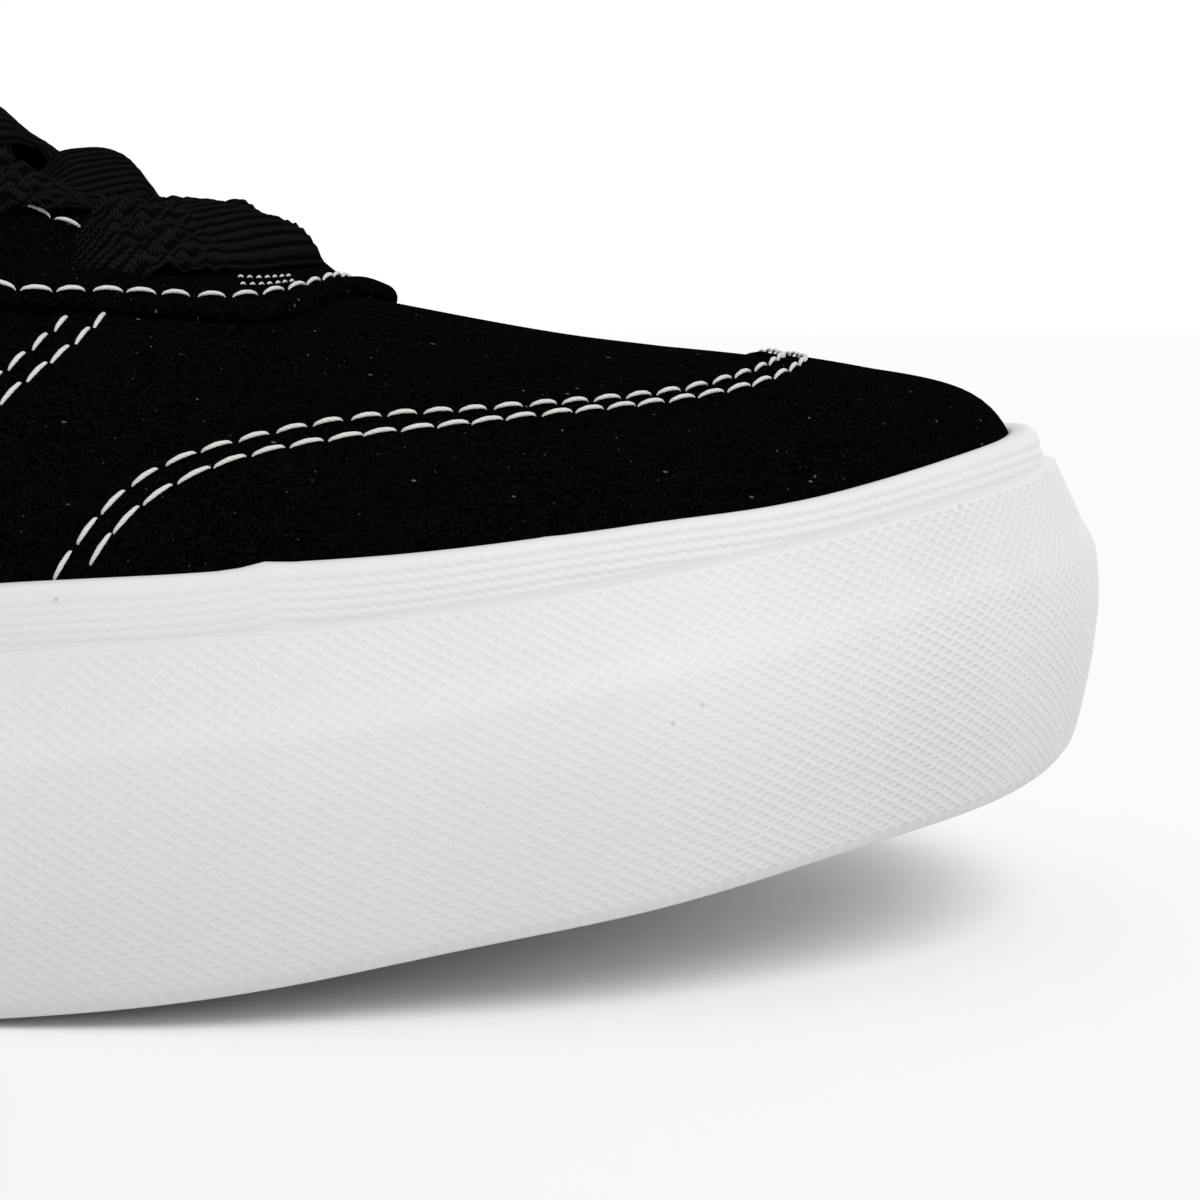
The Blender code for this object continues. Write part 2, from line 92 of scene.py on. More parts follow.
# Sections of the upper from the back of the heel to the tip of the toe. Each rib rises from
# the foot line to the collar, the throat or the ridge of the vamp. Along is a share of the
# upper's length, out and reach of half the ball width, high, rise and drop of the instep height.
Section = namedtuple(
    "Section",
    "foot_along foot_lateral foot_medial top_along top_out top_high rise reach drop",
)
SECTIONS = [
    Section(0.000, 0.00, 0.00, 0.030, 0.00, 0.925, 0.36, 0.02, 0.30),
    Section(0.030, 0.47, 0.47, 0.052, 0.35, 0.920, 0.36, 0.04, 0.29),
    Section(0.085, 0.68, 0.68, 0.105, 0.55, 0.885, 0.35, 0.07, 0.26),
    Section(0.190, 0.745, 0.72, 0.195, 0.66, 0.800, 0.31, 0.10, 0.19),
    Section(0.330, 0.765, 0.66, 0.285, 0.69, 0.745, 0.30, 0.12, 0.16),
    Section(0.460, 0.83, 0.66, 0.375, 0.65, 0.800, 0.30, 0.16, 0.15),
    Section(0.580, 0.935, 0.80, 0.456, 0.47, 1.000, 0.31, 0.30, 0.16),
    Section(0.680, 1.00, 0.955, 0.580, 0.34, 0.837, 0.31, 0.36, 0.135),
    Section(0.745, 0.99, 1.003, 0.677, 0.275, 0.712, 0.30, 0.42, 0.11),
    Section(0.790, 0.95, 0.99, 0.722, 0.17, 0.677, 0.29, 0.46, 0.06),
    Section(0.840, 0.89, 0.955, 0.738, 0.00, 0.672, 0.28, 0.48, 0.02),
    Section(0.910, 0.70, 0.81, 0.835, 0.00, 0.617, 0.27, 0.42, 0.012),
    Section(0.965, 0.47, 0.60, 0.890, 0.00, 0.599, 0.27, 0.38, 0.022),
    Section(0.992, 0.21, 0.345, 0.915, 0.00, 0.591, 0.27, 0.34, 0.031),
    Section(1.000, -0.07, 0.07, 0.922, 0.00, 0.589, 0.27, 0.32, 0.035),
]
THROAT_CORNER = 6
THROAT_FRONT = 10
TOE_TIP = len(SECTIONS) - 1
LOOP = 2 * TOE_TIP
FIRST_PLACE = -THROAT_FRONT

# Face of the sole wall: share of its height, share of its reach beyond the foot line
WALL_FACE = [
    (0.00, 0.66), (0.04, 0.75), (0.19, 0.87), (0.36, 0.96), (0.53, 1.00),
    (0.70, 0.945), (0.80, 0.77), (0.90, 0.62), (1.00, 0.47),
]

# Tongue from its top to under the vamp: along the shoe, height of its ridge, half width, fall to its edge
TONGUE = [
    (-33.0, 114.5, 23.5, 10.0),
    (-24.0, 106.0, 22.5, 12.0),
    (-12.0, 98.3, 23.0, 15.0),
    (0.0, 92.6, 25.5, 17.5),
    (22.0, 82.5, 25.0, 18.5),
    (36.0, 76.1, 24.0, 19.5),
    (50.0, 69.5, 21.0, 18.0),
    (60.0, 63.9, 18.0, 13.0),
    (65.5, 60.3, 16.0, 10.0),
    (70.0, 58.6, 14.0, 7.5),
]

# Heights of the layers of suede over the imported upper's face
SHELL_LIFT = -0.6
VAMP_LIFT = 0.0
TOE_LIFT = 0.55
STAY_LIFT = 1.6
STAY_UNDER = 0.15
LAYER_THICK = 0.3

# Seams on the outer side, charted on the shoe: along, out to the side, high.
# The inner side has the same seams, mirrored.
TOE_ROW_UPPER = [
    (47.8, 45.6, 37.5), (51.0, 44.0, 42.5), (56.0, 41.0, 47.0), (62.0, 38.5, 49.2),
    (72.0, 35.0, 51.0), (85.0, 30.5, 52.0), (97.0, 25.5, 53.0), (106.0, 20.0, 54.2),
    (111.3, 13.6, 55.8), (113.2, 6.0, 56.8), (113.8, 0.0, 57.2),
]
TOE_ROW_LOWER = [
    (50.2, 45.5, 37.8), (54.0, 43.5, 43.1), (59.8, 40.7, 46.8), (66.0, 38.4, 48.6),
    (72.6, 36.4, 49.6), (85.0, 31.8, 50.9), (97.0, 26.7, 52.2), (106.2, 21.8, 53.3),
    (110.2, 18.9, 54.2), (112.8, 15.5, 55.1), (114.6, 11.0, 55.9), (115.6, 5.0, 56.8),
    (115.9, 0.0, 57.0),
]
QUARTER_ROW_FRONT = [
    (50.0, 26.5, 61.2), (47.2, 32.7, 57.8), (45.2, 35.4, 56.0), (42.5, 38.4, 53.4),
    (37.5, 42.0, 48.0), (32.5, 44.5, 42.0), (29.0, 45.5, 37.0),
]
QUARTER_ROW_REAR = [
    (47.4, 27.5, 61.5), (44.5, 33.2, 58.1), (42.1, 36.5, 55.7), (39.0, 39.4, 52.2),
    (34.5, 42.5, 47.0), (29.8, 44.6, 41.5), (26.5, 45.5, 37.0),
]
STAY_ROW_OUTER = [
    (-5.0, 29.7, 82.2), (7.8, 28.6, 77.0), (18.9, 28.0, 71.5), (28.9, 27.8, 67.7),
    (35.0, 28.0, 65.2), (40.6, 28.5, 63.2), (48.0, 25.0, 62.6), (55.4, 22.0, 62.0),
    (61.5, 18.9, 61.9), (66.0, 12.5, 62.9), (67.8, 5.7, 63.8), (68.3, 0.0, 64.0),
]
SEAM_MARGIN = 1.3
STAY_ROW_DROP = 1.4
STAY_ROW_INNER = 3.8

# Width of the eyestay, measured down each rib from the throat: place in the sections, millimetres
STAY_WIDTH = [
    (6.0, 19.2), (7.0, 20.6), (7.45, 20.1), (7.8, 16.5), (8.3, 14.6), (9.1, 14.3),
    (9.7, 13.2), (10.0, 11.5), (10.15, 7.0), (10.25, 3.0), (10.32, 0.0),
]

# Small unevenness of the strip's top edge: along the shoe, rise
STRIP_TRIM = [
    (-160.0, 0.0), (60.0, 0.0), (66.5, 0.1), (68.8, 0.65), (71.0, 0.5),
    (100.0, 0.55), (117.0, -0.2), (134.0, 0.2), (160.0, 0.2),
]


# Shape of the shoe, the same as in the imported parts


def monotone(knots, values, at):
    """Smooth curve through the values that never overshoots them."""
    knots = np.asarray(knots, float)
    values = np.asarray(values, float)
    at = np.asarray(at, float)
    steps = np.diff(knots)
    slopes = np.diff(values) / steps
    tangents = np.zeros_like(values)
    before = slopes[:-1]
    after = slopes[1:]
    same_way = before * after > 0
    mean = np.where(same_way, 2 * before * after / np.where(same_way, before + after, 1), 0)
    tangents[1:-1] = mean
    tangents[0] = slopes[0]
    tangents[-1] = slopes[-1]
    span = np.clip(np.searchsorted(knots, at, side="right") - 1, 0, len(steps) - 1)
    f = (at - knots[span]) / steps[span]
    h = steps[span]
    start = values[span] * (1 + 2 * f) * (1 - f) ** 2 + h * tangents[span] * f * (1 - f) ** 2
    end = values[span + 1] * f**2 * (3 - 2 * f) + h * tangents[span + 1] * f**2 * (f - 1)
    return start + end


def column_at(rows, at, column=1):
    """Smooth curve through one column of a table, against the table's first column."""
    table = np.array(rows)
    return monotone(table[:, 0], table[:, column], at)


def smooth(low, high, at):
    """Soft step from 0 at low to 1 at high."""
    f = np.clip((np.asarray(at, float) - low) / (high - low), 0, 1)
    return f * f * (3 - 2 * f)


def stronger(x, faint, low, high):
    """Strength that grows from faint to full along the shoe."""
    return faint + (1 - faint) * smooth(low, high, x)


def unit(vectors):
    """Vectors brought to a length of one."""
    return vectors / np.linalg.norm(vectors, axis=-1)[..., None]


def at_height(plan, high):
    """Points with a place in plan and a height."""
    return np.concatenate([plan, high[..., None]], axis=-1)


def summed(steps):
    """Running sum that starts from nothing."""
    return np.concatenate([[0], np.cumsum(steps)])


def run_of(points):
    """Distance along a line of points."""
    return summed(np.linalg.norm(np.diff(points, axis=0), axis=-1))


def sprung(points, bends, span, after, chord, f):
    """Smooth curve between two of its points, at a share of the chord, from its bends at both."""
    straight = points[span] * (1 - f) + points[after] * f
    sag = (1 - f) * ((1 - f) ** 2 - 1) * bends[span] + f * (f**2 - 1) * bends[after]
    return straight + chord**2 / 6 * sag


class ClosedCurve:
    """Smooth closed curve through plan points, one point to each whole place."""

    def __init__(self, points):
        self.points = np.asarray(points, float)
        count = len(self.points)
        ahead = np.roll(self.points, -1, axis=0)
        self.chords = np.linalg.norm(ahead - self.points, axis=1)
        before = np.roll(self.chords, 1)
        rule = np.zeros((count, count))
        pull = np.zeros((count, 2))
        slopes = (ahead - self.points) / self.chords[:, None]
        for i in range(count):
            rule[i, i - 1] += before[i]
            rule[i, i] += 2 * (before[i] + self.chords[i])
            rule[i, (i + 1) % count] += self.chords[i]
            pull[i] = 6 * (slopes[i] - slopes[i - 1])
        self.bends = np.linalg.solve(rule, pull)

    def at(self, place):
        count = len(self.points)
        span = np.floor(place).astype(int) % count
        f = (place - np.floor(place))[..., None]
        return sprung(self.points, self.bends, span, (span + 1) % count, self.chords[span][..., None], f)

    def outward(self, place):
        run = unit(self.at(place + PLACE_STEP) - self.at(place - PLACE_STEP))
        return np.stack([run[..., 1], -run[..., 0]], axis=-1)


def section_at(index):
    """Section at a whole place, and which side of the foot it is on."""
    index = index % LOOP
    if index <= TOE_TIP:
        return SECTIONS[index], -1
    return SECTIONS[LOOP - index], 1


def foot_points():
    points = []
    for index in range(LOOP):
        row, side = section_at(index)
        out = row.foot_lateral if side < 0 else row.foot_medial
        points.append(((row.foot_along - 0.5) * UPPER_LENGTH, side * out * HALF_BALL))
    return points


FOOT_LINE = ClosedCurve(foot_points())


def underside(x):
    """Height of the sole's underside: flat heel and forefoot, slight arch, toe spring."""
    x = np.asarray(x, float)
    share = np.clip((x - SPRING_START) / (LENGTH / 2 - SPRING_START), 0, None)
    spring = TOE_SPRING * share**SPRING_POWER
    middle = (ARCH_BACK + ARCH_FRONT) / 2
    arch = smooth(ARCH_BACK, middle, x) * (1 - smooth(middle, ARCH_FRONT, x))
    return spring + ARCH_RISE * arch


def sole_top(x):
    """Height of the outsole's upper face, higher under the heel."""
    return underside(x) + OUTSOLE_THICK + HEEL_LIFT * (1 - smooth(HEEL_LIFT_BACK, HEEL_LIFT_FRONT, x))


def toward_toe(x, at_ball, at_toe):
    """Size that changes from the ball of the foot to the toe."""
    return at_ball + (at_toe - at_ball) * smooth(BAND_LOWERS_AT, BAND_LOWEST_AT, x)


def table_column(name, places):
    """One column of the sections, followed along the rim of the opening and then the ridge."""
    rim = np.arange(-THROAT_FRONT, THROAT_FRONT + 1)
    ridge = np.arange(THROAT_FRONT, LOOP - THROAT_FRONT + 1)
    found = np.zeros_like(places)
    for knots in (rim, ridge):
        values = []
        for index in knots:
            row, side = section_at(int(index))
            value = getattr(row, name)
            values.append(side * value if name == "top_out" else value)
        inside = (places >= knots[0]) & (places <= knots[-1])
        found[inside] = monotone(knots, values, places[inside])
    return found


def wrap(places):
    """Brings places into the range that starts at the inner side of the throat's front."""
    return (np.asarray(places, float) - FIRST_PLACE) % LOOP + FIRST_PLACE


def upper_points(places, shares):
    """Packed upper's outer face at places and shares of one same shape."""
    places, shares = np.broadcast_arrays(wrap(places), np.asarray(shares, float))
    foot = FOOT_LINE.at(places)
    base = at_height(foot, sole_top(foot[..., 0]) + GAP)
    top = np.stack([
        (table_column("top_along", places) - 0.5) * UPPER_LENGTH,
        table_column("top_out", places) * HALF_BALL,
        table_column("top_high", places) * INSTEP_HEIGHT,
    ], axis=-1)
    outward = at_height(FOOT_LINE.outward(places), np.zeros(places.shape))
    up = np.array([0.0, 0.0, 1.0])
    lower = base + WALL_BULGE * outward + table_column("rise", places)[..., None] * INSTEP_HEIGHT * up
    upper = top + table_column("reach", places)[..., None] * HALF_BALL * outward
    upper = upper - table_column("drop", places)[..., None] * INSTEP_HEIGHT * up
    v = shares[..., None]
    points = (1 - v) ** 3 * base + 3 * v * (1 - v) ** 2 * lower
    return points + 3 * v**2 * (1 - v) * upper + v**3 * top


def upper_slopes(places, shares):
    """Change of the upper's face for one place, and for one share."""
    low = np.clip(shares - PLACE_STEP, 0, 1)
    high = np.clip(shares + PLACE_STEP, 0, 1)
    climb = (upper_points(places, high) - upper_points(places, low)) / (high - low)[..., None]
    ahead = upper_points(places + PLACE_STEP, shares)
    behind = upper_points(places - PLACE_STEP, shares)
    return (ahead - behind) / (2 * PLACE_STEP), climb


def upper_normals(places, shares):
    """Outward direction of the upper's face. On the ridge it stays in the middle plane."""
    normal = unit(np.cross(*upper_slopes(places, shares)))
    on_ridge = (wrap(places) >= THROAT_FRONT) & (shares > 1 - PLACE_STEP / 2)
    normal[on_ridge, 1] = 0
    return unit(normal)


def off_upper(places, shares, out):
    """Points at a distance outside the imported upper's face."""
    places, shares, out = np.broadcast_arrays(places, np.clip(shares, 0, 1), out)
    return upper_points(places, shares) + upper_normals(places, shares) * out[..., None]


def share_at_height(places, heights):
    """Share of each rib where it first reaches a height above the floor."""
    samples = np.linspace(0, BAND_SHARE_LIMIT, FINE_STEPS)
    high = upper_points(places[:, None], samples[None])[..., 2]
    return np.array([np.interp(h, column, samples) for h, column in zip(heights, high)])


def share_below_top(places, widths):
    """Share of each rib at a distance down from its top."""
    samples = np.linspace(0, 1, FINE_STEPS)
    ribs = upper_points(places[:, None], samples[None])
    steps = np.linalg.norm(np.diff(ribs, axis=1), axis=2)
    found = [1 - np.interp(width, summed(row[::-1]), samples) for width, row in zip(widths, steps)]
    return np.array(found)


def strip_top_share(places):
    foot_x = FOOT_LINE.at(places)[:, 0]
    top = underside(foot_x) + toward_toe(foot_x, STRIP_HIGH_BALL, STRIP_HIGH_TOE)
    return share_at_height(places, top + column_at(STRIP_TRIM, foot_x))


# Soft unevenness of the suede


class Waves:
    """Smooth unevenness in space: a sum of seeded waves."""

    def __init__(self, seed, lengths, height):
        draw = np.random.default_rng(seed)
        way = unit(draw.normal(size=(len(lengths), 3)))
        self.way = way * TURN / np.asarray(lengths, float)[:, None]
        self.phase = draw.uniform(0, TURN, len(lengths))
        self.height = height / np.sqrt(len(lengths))

    def at(self, points):
        return self.height * np.sin(points @ self.way.T + self.phase).sum(axis=-1)


BROAD = Waves(SEED, [46, 39, 33, 28, 24, 21], 0.22)
RIDGE_SOFT = 0.4
RIDGE_SOFT_WIDE = 6.0
VAMP_SOFT_FROM = THROAT_FRONT - 0.5
VAMP_SOFT_TO = THROAT_FRONT + 0.3


def dressed(places, shares, lift):
    """Point on a layer of the upper, with the soft unevenness of the suede."""
    places, shares = np.broadcast_arrays(np.asarray(places, float), np.asarray(shares, float))
    base = upper_points(places, shares)
    on_vamp = smooth(VAMP_SOFT_FROM, VAMP_SOFT_TO, TOE_TIP - np.abs(wrap(places) - TOE_TIP))
    dip = RIDGE_SOFT * on_vamp * np.exp(-(base[..., 1] / RIDGE_SOFT_WIDE) ** 2)
    return base + upper_normals(places, shares) * (lift + BROAD.at(base) - dip)[..., None]


# Meshes


def corners(numbers):
    """The four corners of every cell of a grid, which may be one of several grids."""
    left = numbers[..., :-1]
    right = numbers[..., 1:]
    return left[..., :-1, :], left[..., 1:, :], right[..., 1:, :], right[..., :-1, :]


class Pile:
    """Gathers grids of points and faces into one mesh."""

    def __init__(self):
        self.points = []
        self.lay = []
        self.faces = []
        self.painted = []
        self.count = 0

    def add(self, points, lay=None):
        """Adds points and returns their numbers, in the same grid."""
        flat = points.reshape(-1, 3)
        numbers = self.count + np.arange(len(flat)).reshape(points.shape[:-1])
        self.points.append(flat)
        self.lay.append(np.zeros((len(flat), 2)) if lay is None else lay.reshape(-1, 2))
        self.count += len(flat)
        return numbers

    def add_faces(self, found, material=0):
        """Adds faces of three or four point numbers."""
        self.faces.extend(found.tolist())
        self.painted.extend([material] * len(found))

    def quads(self, numbers, close_columns=False, close_rows=False, material=0):
        """Faces over a grid of point numbers."""
        if close_columns:
            numbers = np.concatenate([numbers, numbers[:1]], axis=0)
        if close_rows:
            numbers = np.concatenate([numbers, numbers[:, :1]], axis=1)
        self.add_faces(np.stack(corners(numbers), axis=-1).reshape(-1, 4), material)

    def join(self, *lines, **kind):
        """Faces between lines of point numbers that lie side by side."""
        self.quads(np.stack(lines, axis=1), **kind)

    def cap(self, one, other=()):
        """Closes an end with one face."""
        self.faces.append(list(one) + list(other)[::-1])
        self.painted.append(0)

    def slab(self, under, over):
        """Faces all round a slab, from the grids of its two sides."""
        self.quads(under)
        self.quads(over)
        for edge in (0, -1):
            self.join(under[:, edge], over[:, edge])
        for end in (0, -1):
            self.cap(under[end], over[end])

    def make(self, name, materials, slot, stands_for=None, fill=None, merge=0.0):
        mesh = bpy.data.meshes.new(name)
        mesh.from_pydata((np.concatenate(self.points) * MM).tolist(), [], self.faces)
        mesh.polygons.foreach_set("material_index", self.painted)
        corner = np.zeros(len(mesh.loops), np.int32)
        mesh.loops.foreach_get("vertex_index", corner)
        layer = mesh.uv_layers.new(name="lay")
        layer.data.foreach_set("uv", np.concatenate(self.lay)[corner].astype(np.float32).ravel())
        bm = bmesh.new()
        bm.from_mesh(mesh)
        if merge:
            bmesh.ops.remove_doubles(bm, verts=bm.verts, dist=merge * MM)
        bmesh.ops.dissolve_degenerate(bm, edges=bm.edges, dist=TINY * MM)
        unused = [vert for vert in bm.verts if not vert.link_faces]
        bmesh.ops.delete(bm, geom=unused, context="VERTS")
        bmesh.ops.recalc_face_normals(bm, faces=bm.faces)
        bm.to_mesh(mesh)
        bm.free()
        mesh.polygons.foreach_set("use_smooth", np.ones(len(mesh.polygons), bool))
        obj = bpy.data.objects.new(name, mesh)
        bpy.context.scene.collection.objects.link(obj)
        for material in materials:
            mesh.materials.append(material)
        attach(obj, "root")
        if stands_for:
            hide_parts(stands_for)
        return obj


def lay_of(points):
    """Distances over a grid of points, along its columns and its rows."""
    along = np.linalg.norm(np.diff(points, axis=0), axis=-1).mean(axis=1)
    up = np.linalg.norm(np.diff(points, axis=1), axis=-1).mean(axis=0)
    return np.stack(np.meshgrid(summed(along), summed(up), indexing="ij"), axis=-1)


def even_places(start, end, spacing, reach=0.0):
    """Places an even distance apart along the foot line, or along a line outside it."""
    fine = np.linspace(start, end, int((end - start) * FINE_STEPS))
    run = run_of(FOOT_LINE.at(fine) + reach * FOOT_LINE.outward(fine))
    count = max(int(round(run[-1] / spacing)), 2)
    return np.interp(np.linspace(0, run[-1], count + 1), run, fine)


def mirrored(places):
    """Adds the inner side's places to those of the outer side, which end at the toe."""
    return np.concatenate([places, LOOP - places[-2::-1]])


def doubled(values):
    """Repeats the outer side's values on the inner side, in the order of the mirrored places."""
    return np.concatenate([values, values[-2::-1]])


# Lines on the upper, each given by its places and shares


def tree_of(points):
    """Search tree over points."""
    tree = KDTree(len(points))
    for number, point in enumerate(points):
        tree.insert(point, number)
    tree.balance()
    return tree


def through(knots, count):
    """Even points on a smooth curve through charted knots."""
    knots = np.asarray(knots, float)
    at = run_of(knots)
    chords = np.diff(at)
    slopes = np.diff(knots, axis=0) / chords[:, None]
    number = len(knots)
    rule = np.eye(number)
    pull = np.zeros_like(knots)
    for i in range(1, number - 1):
        rule[i, i - 1:i + 2] = chords[i - 1], 2 * (chords[i - 1] + chords[i]), chords[i]
        pull[i] = 6 * (slopes[i] - slopes[i - 1])
    bends = np.linalg.solve(rule, pull)
    where = np.linspace(0, at[-1], count)
    span = np.clip(np.searchsorted(at, where, side="right") - 1, 0, number - 2)
    f = ((where - at[span]) / chords[span])[:, None]
    return sprung(knots, bends, span, span + 1, chords[span][:, None], f)


CHART_PLACES = np.linspace(-1, TOE_TIP + 1, 900)
CHART_SHARES = np.linspace(0.1, 1, 181)
CHART = tree_of(upper_points(CHART_PLACES[:, None], CHART_SHARES[None]).reshape(-1, 3))
CHART_ROUNDS = 6
LARGEST_PLACE_STEP = 0.3
LARGEST_SHARE_STEP = 0.05
LOWEST_SHARE = 0.02
SMALLEST_AREA = 1e-6


def on_upper(points):
    """Place and share on the outer side nearest to each point."""
    numbers = np.array([CHART.find(point)[1] for point in points])
    place = CHART_PLACES[numbers // len(CHART_SHARES)].copy()
    share = CHART_SHARES[numbers % len(CHART_SHARES)].copy()
    best = np.linalg.norm(points - upper_points(place, share), axis=1)
    for _ in range(CHART_ROUNDS):
        new_place, new_share = step_on_upper(place, share, points - upper_points(place, share))
        left = np.linalg.norm(points - upper_points(new_place, new_share), axis=1)
        closer = left < best
        place = np.where(closer, new_place, place)
        share = np.where(closer, new_share, share)
        best = np.minimum(left, best)
    return place, share


def step_on_upper(place, share, move):
    """Place and share after a small move along the face."""
    run, climb = upper_slopes(place, share)
    a = (run * run).sum(-1)
    b = (run * climb).sum(-1)
    c = (climb * climb).sum(-1)
    p = (run * move).sum(-1)
    q = (climb * move).sum(-1)
    area = np.maximum(a * c - b * b, SMALLEST_AREA)
    place_step = np.clip((c * p - b * q) / area, -LARGEST_PLACE_STEP, LARGEST_PLACE_STEP)
    share_step = np.clip((a * q - b * p) / area, -LARGEST_SHARE_STEP, LARGEST_SHARE_STEP)
    return place + place_step, np.clip(share + share_step, LOWEST_SHARE, 1)


def resampled(line, count):
    """Even points along a line on the upper."""
    points = upper_points(*line)
    run = run_of(points)
    return interpolated(np.linspace(0, run[-1], count), run, points)


def interpolated(at, run, points):
    """Points at distances along a line."""
    return np.stack([np.interp(at, run, points[:, k]) for k in range(3)], axis=1)


LINE_SAMPLES = 1500


def away_from(points, line):
    """Distance of each point from a line on the upper."""
    tree = tree_of(resampled(line, LINE_SAMPLES))
    found = [tree.find(point)[2] for point in points.reshape(-1, 3)]
    return np.array(found).reshape(points.shape[:-1])


NARROW = 4.0


def between(edge, other, spacing, near, steps, far=None):
    """Places and shares over the face from one line to another: columns across, rows from line to line.

    Near and far are the distances of the rows that gather at the two lines. Where the face is narrow,
    those rows draw together.
    """
    count = int(run_of(upper_points(*edge))[-1] / spacing) + 1
    one = resampled(edge, count)
    two = resampled(other, count)
    wide = np.linalg.norm(two - one, axis=1)
    columns = []
    for i in range(count):
        scale = min(1.0, wide[i] / NARROW)
        start = np.asarray(near) * scale
        if far is None:
            rest = np.linspace(start[-1], wide[i], steps)[1:]
        else:
            stop = wide[i] - np.asarray(far)[::-1] * scale
            rest = np.concatenate([np.linspace(start[-1], stop[0], steps + 2)[1:-1], stop])
        distance = np.concatenate([start, rest])
        columns.append(one[i] + (two[i] - one[i]) * (distance / wide[i])[:, None])
    place, share = on_upper(np.concatenate(columns))
    return place.reshape(count, -1), share.reshape(count, -1)


SEAM_POINTS = 300


def seam_line(knots):
    """Line along a charted seam."""
    points = np.array([(along, -out, high) for along, out, high in knots])
    return on_upper(through(points, SEAM_POINTS))


def moved_line(line, distance):
    """Line beside another on the upper: to the left of its run if the distance is positive."""
    points = upper_points(*line)
    ahead = unit(np.gradient(points, axis=0))
    return on_upper(points + np.cross(upper_normals(*line), ahead) * distance)


def line_below(places, distance):
    """Line at a distance down from the top of the upper."""
    return places, share_below_top(places, np.broadcast_to(distance, places.shape))


# Materials


def add_node(tree, kind, inputs, **values):
    """Adds a node. Its inputs are set to numbers or linked to other nodes' outputs."""
    node = tree.nodes.new(kind)
    for key, value in values.items():
        setattr(node, key, value)
    for name, value in inputs.items():
        if isinstance(value, bpy.types.NodeSocket):
            tree.links.new(value, node.inputs[name])
        else:
            node.inputs[name].default_value = value
    return node


class Painter:
    """Builds one material's nodes."""

    def __init__(self, name, roughness, **fixed):
        self.material = bpy.data.materials.new(name)
        self.material.use_nodes = True
        self.tree = self.material.node_tree
        self.shader = self.tree.nodes["Principled BSDF"]
        self.shader.inputs["Roughness"].default_value = roughness
        for socket, value in fixed.items():
            self.shader.inputs[socket.replace("_", " ")].default_value = value

    def node(self, kind, inputs, **values):
        return add_node(self.tree, kind, inputs, **values)

    def place(self, scale=(1, 1, 1)):
        """Place on the object in metres, stretched by a scale."""
        coords = self.node("ShaderNodeTexCoord", {})
        mapping = self.node("ShaderNodeMapping", {"Vector": coords.outputs["Object"], "Scale": scale})
        return mapping.outputs["Vector"]

    def lay(self, scale=(1, 1, 1), turn=0.0):
        """Place on the cloth in millimetres, along and across its run."""
        coords = self.node("ShaderNodeUVMap", {}, uv_map="lay")
        inputs = {"Vector": coords.outputs["UV"], "Scale": scale, "Rotation": (0, 0, turn)}
        return self.node("ShaderNodeMapping", inputs).outputs["Vector"]

    def split(self, vector):
        return self.node("ShaderNodeSeparateXYZ", {"Vector": vector}).outputs

    def noise(self, vector, scale, detail, roughness):
        inputs = {"Vector": vector, "Scale": scale, "Detail": detail, "Roughness": roughness}
        return self.node("ShaderNodeTexNoise", inputs).outputs["Fac"]

    def wave(self, vector, scale, direction, distortion=0.0):
        inputs = {"Vector": vector, "Scale": scale, "Distortion": distortion}
        node = self.node("ShaderNodeTexWave", inputs, wave_type="BANDS", bands_direction=direction)
        return node.outputs["Fac"]

    def math(self, operation, one, other):
        return self.node("ShaderNodeMath", {0: one, 1: other}, operation=operation).outputs[0]

    def ramp(self, value, low, high, start=0.0, end=1.0):
        inputs = {"Value": value, "From Min": low, "From Max": high, "To Min": start, "To Max": end}
        node = self.node("ShaderNodeMapRange", inputs, interpolation_type="SMOOTHSTEP")
        return node.outputs["Result"]

    def mix(self, share, one, other):
        """Mixes two colours, each a node's output or three numbers."""
        inputs = {"Factor": share}
        for number, colour in ((6, one), (7, other)):
            inputs[number] = colour if isinstance(colour, bpy.types.NodeSocket) else (*colour, 1.0)
        return self.node("ShaderNodeMix", inputs, data_type="RGBA").outputs[2]

    def bump(self, height, strength, distance, under=None):
        inputs = {"Strength": strength, "Distance": distance * MM, "Height": height}
        if under is not None:
            inputs["Normal"] = under
        return self.node("ShaderNodeBump", inputs).outputs["Normal"]

    def specks(self, vector, scale, size, kept):
        """Sparse round specks: 1 inside a speck."""
        cells = self.node("ShaderNodeTexVoronoi", {"Vector": vector, "Scale": scale})
        near = self.ramp(cells.outputs["Distance"], size, size * 0.5)
        chosen = self.node("ShaderNodeSeparateColor", {"Color": cells.outputs["Color"]})
        lucky = self.math("LESS_THAN", chosen.outputs["Red"], kept)
        return self.math("MULTIPLY", near, lucky)

    def spot(self, vector, place, radius):
        """One small fleck: 1 inside it."""
        middle = [value * MM for value in place]
        node = self.node("ShaderNodeVectorMath", {0: vector, 1: middle}, operation="DISTANCE")
        return self.ramp(node.outputs["Value"], radius * 1.5 * MM, radius * 0.6 * MM)

    def finish(self, colour, normal=None, roughness=None):
        for name, value in (("Base Color", colour), ("Normal", normal), ("Roughness", roughness)):
            if value is not None:
                self.tree.links.new(value, self.shader.inputs[name])
        return self.material


